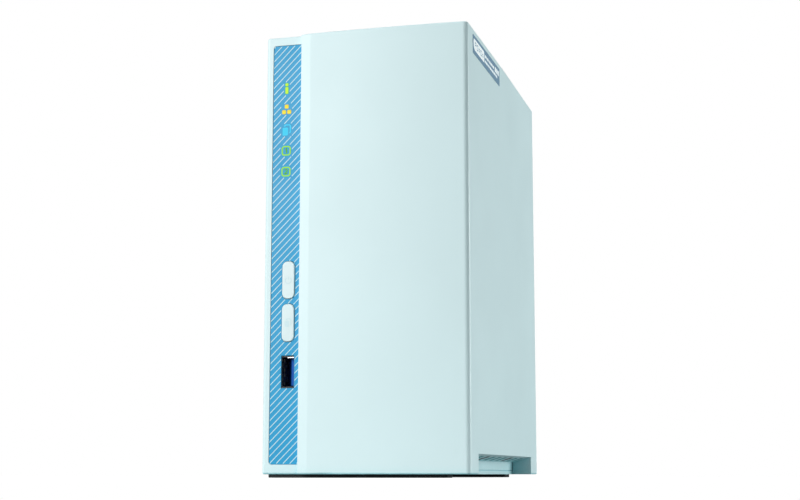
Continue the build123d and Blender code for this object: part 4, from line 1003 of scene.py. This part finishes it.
def vent_ribs(bm):
    """A fine rib on each side of the vent slots."""
    for x in (-14.6, 30.6):
        slab(bm, rear(PANEL_Y), rounded(x, 59.0, 0.9, 52.0, 0.4), *RIB)


piece("rear_vent_ribs", vent_ribs, "rear", "chassis", bevel=0.12)

# ---------------------------------------------------------------- floor, world and light
FLOOR_REACH = (0.13, 0.40)
AMBIENT, AMBIENT_TINT = 0.325, (0.84, 0.98, 1.0, 1.0)
WHITE = (1.0, 1.0, 1.0)
MIDDLE = Vector((0.0, 0.0, 0.09))


def floor_paper():
    """Pale paper that takes a shadow near the object and turns into plain white further out."""
    s = Shade("floor_paper")
    reach = s.add("ShaderNodeVectorMath", operation="LENGTH")
    s.link(s.coord, reach.inputs[0])
    far = s.spread(reach.outputs["Value"], 0.0, 1.0, *FLOOR_REACH)
    paper = s.ramp(s.noise(400), ((0.3, (0.40, 0.40, 0.40)), (0.7, (0.43, 0.43, 0.43))))
    s.link(s.mix(far, paper, (0.0, 0.0, 0.0)), s.bsdf.inputs["Base Color"])
    glow = s.mix(far, (0.74, 0.74, 0.74), WHITE)
    seen = s.add("ShaderNodeLightPath").outputs["Is Camera Ray"]
    s.link(s.mix(seen, (0.06, 0.06, 0.06), glow), s.bsdf.inputs["Emission Color"])
    s.bsdf.inputs["Emission Strength"].default_value = 1.0
    s.bsdf.inputs["Roughness"].default_value = 0.9
    s.bsdf.inputs["Specular IOR Level"].default_value = 0.0
    return s.mat


floor_mesh = bpy.data.meshes.new("floor")
grid = bmesh.new()
bmesh.ops.create_grid(grid, x_segments=2, y_segments=2, size=6.0)
grid.to_mesh(floor_mesh)
grid.free()
floor_mesh.materials.append(floor_paper())
floor = bpy.data.objects.new("floor", floor_mesh)
bpy.context.scene.collection.objects.link(floor)
floor.location.z = -0.05 * MM

# the camera sees a white backdrop, and everything else is lit by a weaker tinted one
world = bpy.data.worlds.new("studio")
bpy.context.scene.world = world
world.use_nodes = True
tree = world.node_tree
tree.nodes.clear()
out = tree.nodes.new("ShaderNodeOutputWorld")
mix = tree.nodes.new("ShaderNodeMixShader")
path = tree.nodes.new("ShaderNodeLightPath")
ambient = tree.nodes.new("ShaderNodeBackground")
ambient.inputs["Color"].default_value = AMBIENT_TINT
ambient.inputs["Strength"].default_value = AMBIENT
backdrop = tree.nodes.new("ShaderNodeBackground")
backdrop.inputs["Color"].default_value = (*WHITE, 1.0)
backdrop.inputs["Strength"].default_value = 1.0
tree.links.new(path.outputs["Is Camera Ray"], mix.inputs["Fac"])
tree.links.new(ambient.outputs[0], mix.inputs[1])
tree.links.new(backdrop.outputs[0], mix.inputs[2])
tree.links.new(mix.outputs[0], out.inputs[0])


def softbox(name, at, size, power, tint=WHITE):
    """A rectangular light that faces the middle of the object."""
    data = bpy.data.lights.new(name, "AREA")
    data.shape = "RECTANGLE"
    data.size, data.size_y = size
    data.energy = power
    data.color = tint
    light = bpy.data.objects.new(name, data)
    bpy.context.scene.collection.objects.link(light)
    light.location = at
    aim = MIDDLE - Vector(at)
    light.rotation_euler = aim.to_track_quat("-Z", "Y").to_euler()


softbox("key", (-0.60, -0.84, 0.40), (0.7, 0.5), 8.9, (1.0, 0.975, 0.965))
softbox("sheen", (-0.88, -1.46, 0.35), (0.45, 1.5), 6.6, (1.0, 0.92, 0.90))
softbox("fill_right", (1.4, 0.95, 0.25), (1.0, 0.8), 23.5, (0.97, 1.0, 1.0))
softbox("top", (0.0, 0.1, 1.9), (1.6, 1.6), 6.0)
softbox("rear", (-0.7, 1.7, 0.7), (1.2, 1.2), 5.0)

view = bpy.context.scene.view_settings
view.view_transform = "Standard"
view.look = "None"
view.exposure = 0.0
